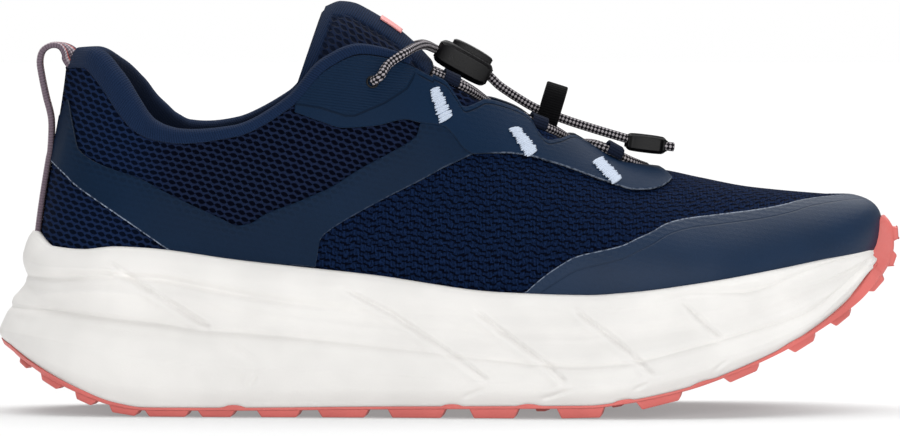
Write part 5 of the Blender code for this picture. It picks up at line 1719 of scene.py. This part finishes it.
def moulding(name, sizes, place, tilt, edge, colours, nodes, groove=0.0, arch=0.0):
    """A moulded block with round edges and ends; groove sinks a line round its middle."""
    made = new_mesh()
    bmesh.ops.create_cube(made, size=1.0)
    bmesh.ops.subdivide_edges(made, edges=made.edges[:], cuts=9, use_grid_fill=True)
    for vert in made.verts:
        x, y, z = vert.co
        end = 1 - END_NARROW * (2 * abs(x)) ** 3
        z_at = z * (1 - END_THIN * (2 * abs(x)) ** 4) + arch * (0.25 - x * x)
        vert.co = (x, y * end, z_at)
        if groove and abs(abs(x) - GROOVE_AT) < GROOVE_HALF:
            vert.co.y *= 1 - GROOVE_NARROW * groove
            vert.co.z *= 1 - GROOVE_THIN * groove
    bmesh.ops.scale(made, vec=np.array(sizes) * MM, verts=made.verts)
    sharp = [e for e in made.edges if len(e.link_faces) == 2 and e.calc_face_angle(0) > 0.9]
    bevel(made, sharp, edge, 4)
    bmesh.ops.smooth_vert(made, verts=made.verts, factor=0.4, use_axis_x=True, use_axis_y=True, use_axis_z=True)
    bmesh.ops.rotate(made, verts=made.verts, cent=(0, 0, 0), matrix=Matrix.Rotation(tilt, 3, "Y"))
    bmesh.ops.translate(made, verts=made.verts, vec=np.array(place) * MM)
    return piece(name, made, [plastic_finish(colours)], nodes, recalc=True)


def make_lock(_, colours):
    """The cord lock: its body and the button bar over it."""
    moulding("lock_body", TOGGLE_SIZE, TOGGLE_AT, TOGGLE_TILT, 1.6, colours, ["toggle"])
    over = np.array([math.sin(TOGGLE_TILT), 0, math.cos(TOGGLE_TILT)])
    place = np.array(TOGGLE_AT) + over * BUTTON_RISE + BUTTON_SHIFT
    moulding("lock_button", BUTTON_SIZE, place, TOGGLE_TILT, 0.8, colours, ["toggle_button"], arch=0.4)


def make_heel_loop(sizes, colours):
    """Tape up the heel that turns over into a pull loop."""
    grid, normals = upper_face(np.array([0.0]), np.linspace(-0.04, 0.5, 9))
    lift = sizes.tape / 2 + 0.1
    stops = [*(grid[:, 0] + normals[:, 0] * lift), *((x, 0, z) for x, z in LOOP_TURN)]
    path = curve_through(stops, 6)
    made = new_mesh()
    along = np.linspace(0, 1, len(path))
    turn = TAPE_TWIST * smooth_step((along - TAPE_TWIST_FROM) / TAPE_TWIST_OVER)
    face = np.column_stack([np.sin(turn), np.cos(turn), 0 * turn])
    sweep(made, path, face, strap_section(sizes.tape_width, sizes.tape))
    piece("heel_tape", made, [stripe_finish(colours)], ["heel_loop"], recalc=True)


def make_tacks(sizes, colours):
    """Bar tacks: rows of thread stitches across the eyestay over each lace loop."""
    thread = thread_finish(colours)
    for word, side in SIDES.items():
        made = new_mesh()
        for first, second, third, fourth in (np.array(four) for four in BAR_TACKS):
            for k in range(TACK_STITCHES):
                share = (k + 0.5) / TACK_STITCHES
                ragged = 0.25 * math.sin(k * 2.7)
                start, end = first + (fourth - first) * share, second + (third - second) * share
                ends = (start + (start - end) * 0.08 * ragged, end + (end - start) * 0.1 * ragged)
                spots = [on_upper(x, z, side) for x, z in ends]
                start, end = (spot + look * (sizes.film_face + TACK_LIFT) for spot, look in spots)
                stitch(made, start, end, spots[0][1], TACK_RADIUS)
        piece("bar_tacks_" + word, made, [thread], recalc=True)


def stitch(made, start, end, look, radius):
    """Adds one plump stitch between two places."""
    ball = bmesh.ops.create_icosphere(made, subdivisions=2, radius=1.0)["verts"]
    ahead, long = unit(end - start), np.linalg.norm(end - start) / 2
    side = unit(np.cross(look, ahead))
    turn = np.array([ahead * (long + radius), side * radius, look * radius * 0.8])
    for vert in ball:
        vert.co = (np.array(vert.co) @ turn + (start + end) / 2) * MM


# Studio
def make_stage(_, colours):
    """Pale floor, soft lights, and the camera at the photograph's angle."""
    scene = bpy.context.scene
    made = bmesh.new()
    bmesh.ops.create_grid(made, x_segments=8, y_segments=8, size=FLOOR_HALF)
    mesh = bpy.data.meshes.new("studio_floor")
    made.to_mesh(mesh)
    made.free()
    mesh.materials.append(floor_finish(colours))
    floor = bpy.data.objects.new("studio_floor", mesh)
    scene.collection.objects.link(floor)
    world = bpy.data.worlds.new("studio")
    world.use_nodes = True
    sky = world.node_tree.nodes["Background"]
    sky.inputs["Color"].default_value = (1, 1, 1, 1)
    t = Tree(world.node_tree)
    seen = t.add("LightPath", output="Is Camera Ray")
    t.link(t.ramp(seen, 0.0, 1.0, SKY_ON_SHOE, SKY_SEEN), sky.inputs["Strength"])
    scene.world = world
    scene.view_settings.view_transform = "Standard"
    for name, place, strength, spread in LIGHTS:
        light = bpy.data.lights.new(name, "SUN")
        light.energy, light.angle = strength, math.radians(spread)
        lamp = bpy.data.objects.new(name, light)
        lamp.location = place
        lamp.rotation_euler = aim(-np.array(place))
        scene.collection.objects.link(lamp)
    lens = bpy.data.cameras.new("camera")
    lens.sensor_width, lens.lens, lens.clip_end = CAMERA_SENSOR, CAMERA_LENS, CAMERA_CLIP
    camera = bpy.data.objects.new("camera", lens)
    away = np.array([0, -math.cos(CAMERA_RISE), math.sin(CAMERA_RISE)])
    camera.location = np.array(CAMERA_TARGET) + away * CAMERA_FAR
    camera.rotation_euler = (math.pi / 2 - CAMERA_RISE, 0, 0)
    scene.collection.objects.link(camera)
    scene.camera = camera


def aim(toward):
    """Turn that makes a light look along a direction."""
    x, y, z = unit(np.asarray(toward, float))
    return (math.acos(-z), 0, math.atan2(x, -y) + math.pi)


# Operators, panel and registration
class SNEAKER_OT_stage(bpy.types.Operator):
    """Make the floor, the lights and the camera"""

    bl_idname = "sneaker.stage"
    bl_label = "Studio"
    bl_options = {"REGISTER", "UNDO"}

    def execute(self, context):
        make_stage(*settings(context))
        return {"FINISHED"}


class SNEAKER_OT_tails(bpy.types.Operator):
    """Make the lace's free ends and their clip"""

    bl_idname = "sneaker.tails"
    bl_label = "Lace ends"
    bl_options = {"REGISTER", "UNDO"}

    def execute(self, context):
        make_tails(*settings(context))
        return {"FINISHED"}


class SNEAKER_OT_midsole(bpy.types.Operator):
    """Make the foam midsole"""

    bl_idname = "sneaker.midsole"
    bl_label = "Midsole"
    bl_options = {"REGISTER", "UNDO"}

    def execute(self, context):
        make_midsole(*settings(context))
        return {"FINISHED"}


class SNEAKER_OT_outsole(bpy.types.Operator):
    """Make the rubber outsole with its lugs and toe bumper"""

    bl_idname = "sneaker.outsole"
    bl_label = "Outsole"
    bl_options = {"REGISTER", "UNDO"}

    def execute(self, context):
        make_outsole(*settings(context))
        return {"FINISHED"}


class SNEAKER_OT_insole(bpy.types.Operator):
    """Make the insole"""

    bl_idname = "sneaker.insole"
    bl_label = "Insole"
    bl_options = {"REGISTER", "UNDO"}

    def execute(self, context):
        make_insole(*settings(context))
        return {"FINISHED"}


class SNEAKER_OT_upper(bpy.types.Operator):
    """Make the knit upper with its lining"""

    bl_idname = "sneaker.upper"
    bl_label = "Upper"
    bl_options = {"REGISTER", "UNDO"}

    def execute(self, context):
        make_upper(*settings(context))
        return {"FINISHED"}


class SNEAKER_OT_films(bpy.types.Operator):
    """Make the films on quarter, eyestay and toe"""

    bl_idname = "sneaker.films"
    bl_label = "Films"
    bl_options = {"REGISTER", "UNDO"}

    def execute(self, context):
        make_films(*settings(context))
        return {"FINISHED"}


class SNEAKER_OT_tacks(bpy.types.Operator):
    """Make the bar tacks on the eyestays"""

    bl_idname = "sneaker.tacks"
    bl_label = "Bar tacks"
    bl_options = {"REGISTER", "UNDO"}

    def execute(self, context):
        make_tacks(*settings(context))
        return {"FINISHED"}


class SNEAKER_OT_collar(bpy.types.Operator):
    """Make the padded collar"""

    bl_idname = "sneaker.collar"
    bl_label = "Collar"
    bl_options = {"REGISTER", "UNDO"}

    def execute(self, context):
        make_collar(*settings(context))
        return {"FINISHED"}


class SNEAKER_OT_heel_loop(bpy.types.Operator):
    """Make the heel tape and its pull loop"""

    bl_idname = "sneaker.heel_loop"
    bl_label = "Heel loop"
    bl_options = {"REGISTER", "UNDO"}

    def execute(self, context):
        make_heel_loop(*settings(context))
        return {"FINISHED"}


class SNEAKER_OT_tongue(bpy.types.Operator):
    """Make the padded tongue and its bare label"""

    bl_idname = "sneaker.tongue"
    bl_label = "Tongue"
    bl_options = {"REGISTER", "UNDO"}

    def execute(self, context):
        make_tongue(*settings(context))
        return {"FINISHED"}


class SNEAKER_OT_lace(bpy.types.Operator):
    """Make the lace, its loops, eyelets and keeper"""

    bl_idname = "sneaker.lace"
    bl_label = "Lace"
    bl_options = {"REGISTER", "UNDO"}

    def execute(self, context):
        make_lace(*settings(context))
        return {"FINISHED"}


class SNEAKER_OT_lock(bpy.types.Operator):
    """Make the cord lock"""

    bl_idname = "sneaker.lock"
    bl_label = "Cord lock"
    bl_options = {"REGISTER", "UNDO"}

    def execute(self, context):
        make_lock(*settings(context))
        return {"FINISHED"}


OPERATORS = (
    SNEAKER_OT_stage,
    SNEAKER_OT_tails,
    SNEAKER_OT_midsole,
    SNEAKER_OT_outsole,
    SNEAKER_OT_insole,
    SNEAKER_OT_upper,
    SNEAKER_OT_films,
    SNEAKER_OT_tacks,
    SNEAKER_OT_collar,
    SNEAKER_OT_heel_loop,
    SNEAKER_OT_tongue,
    SNEAKER_OT_lace,
    SNEAKER_OT_lock,
)


class SNEAKER_PT_panel(bpy.types.Panel):
    """Lists the shoe's operators, sizes and colours"""

    bl_label = "Trail sneaker"
    bl_space_type = "VIEW_3D"
    bl_region_type = "UI"
    bl_category = "Sneaker"

    def draw(self, context):
        for operator in OPERATORS:
            self.layout.operator(operator.bl_idname)
        for group in (context.scene.sneaker_sizes, context.scene.sneaker_colours):
            box = self.layout.box()
            for name in group.__annotations__:
                box.prop(group, name)


CLASSES = (SneakerSizes, SneakerColours, *OPERATORS, SNEAKER_PT_panel)


def register():
    for cls in CLASSES:
        bpy.utils.register_class(cls)
    bpy.types.Scene.sneaker_sizes = PointerProperty(type=SneakerSizes)
    bpy.types.Scene.sneaker_colours = PointerProperty(type=SneakerColours)


def unregister():
    del bpy.types.Scene.sneaker_colours
    del bpy.types.Scene.sneaker_sizes
    for cls in reversed(CLASSES):
        bpy.utils.unregister_class(cls)


def main():
    register()
    bpy.ops.sneaker.stage()
    bpy.ops.sneaker.tails()
    bpy.ops.sneaker.midsole()
    bpy.ops.sneaker.outsole()
    bpy.ops.sneaker.insole()
    bpy.ops.sneaker.upper()
    bpy.ops.sneaker.films()
    bpy.ops.sneaker.tacks()
    bpy.ops.sneaker.collar()
    bpy.ops.sneaker.heel_loop()
    bpy.ops.sneaker.tongue()
    bpy.ops.sneaker.lace()
    bpy.ops.sneaker.lock()


if __name__ == "__main__":
    main()
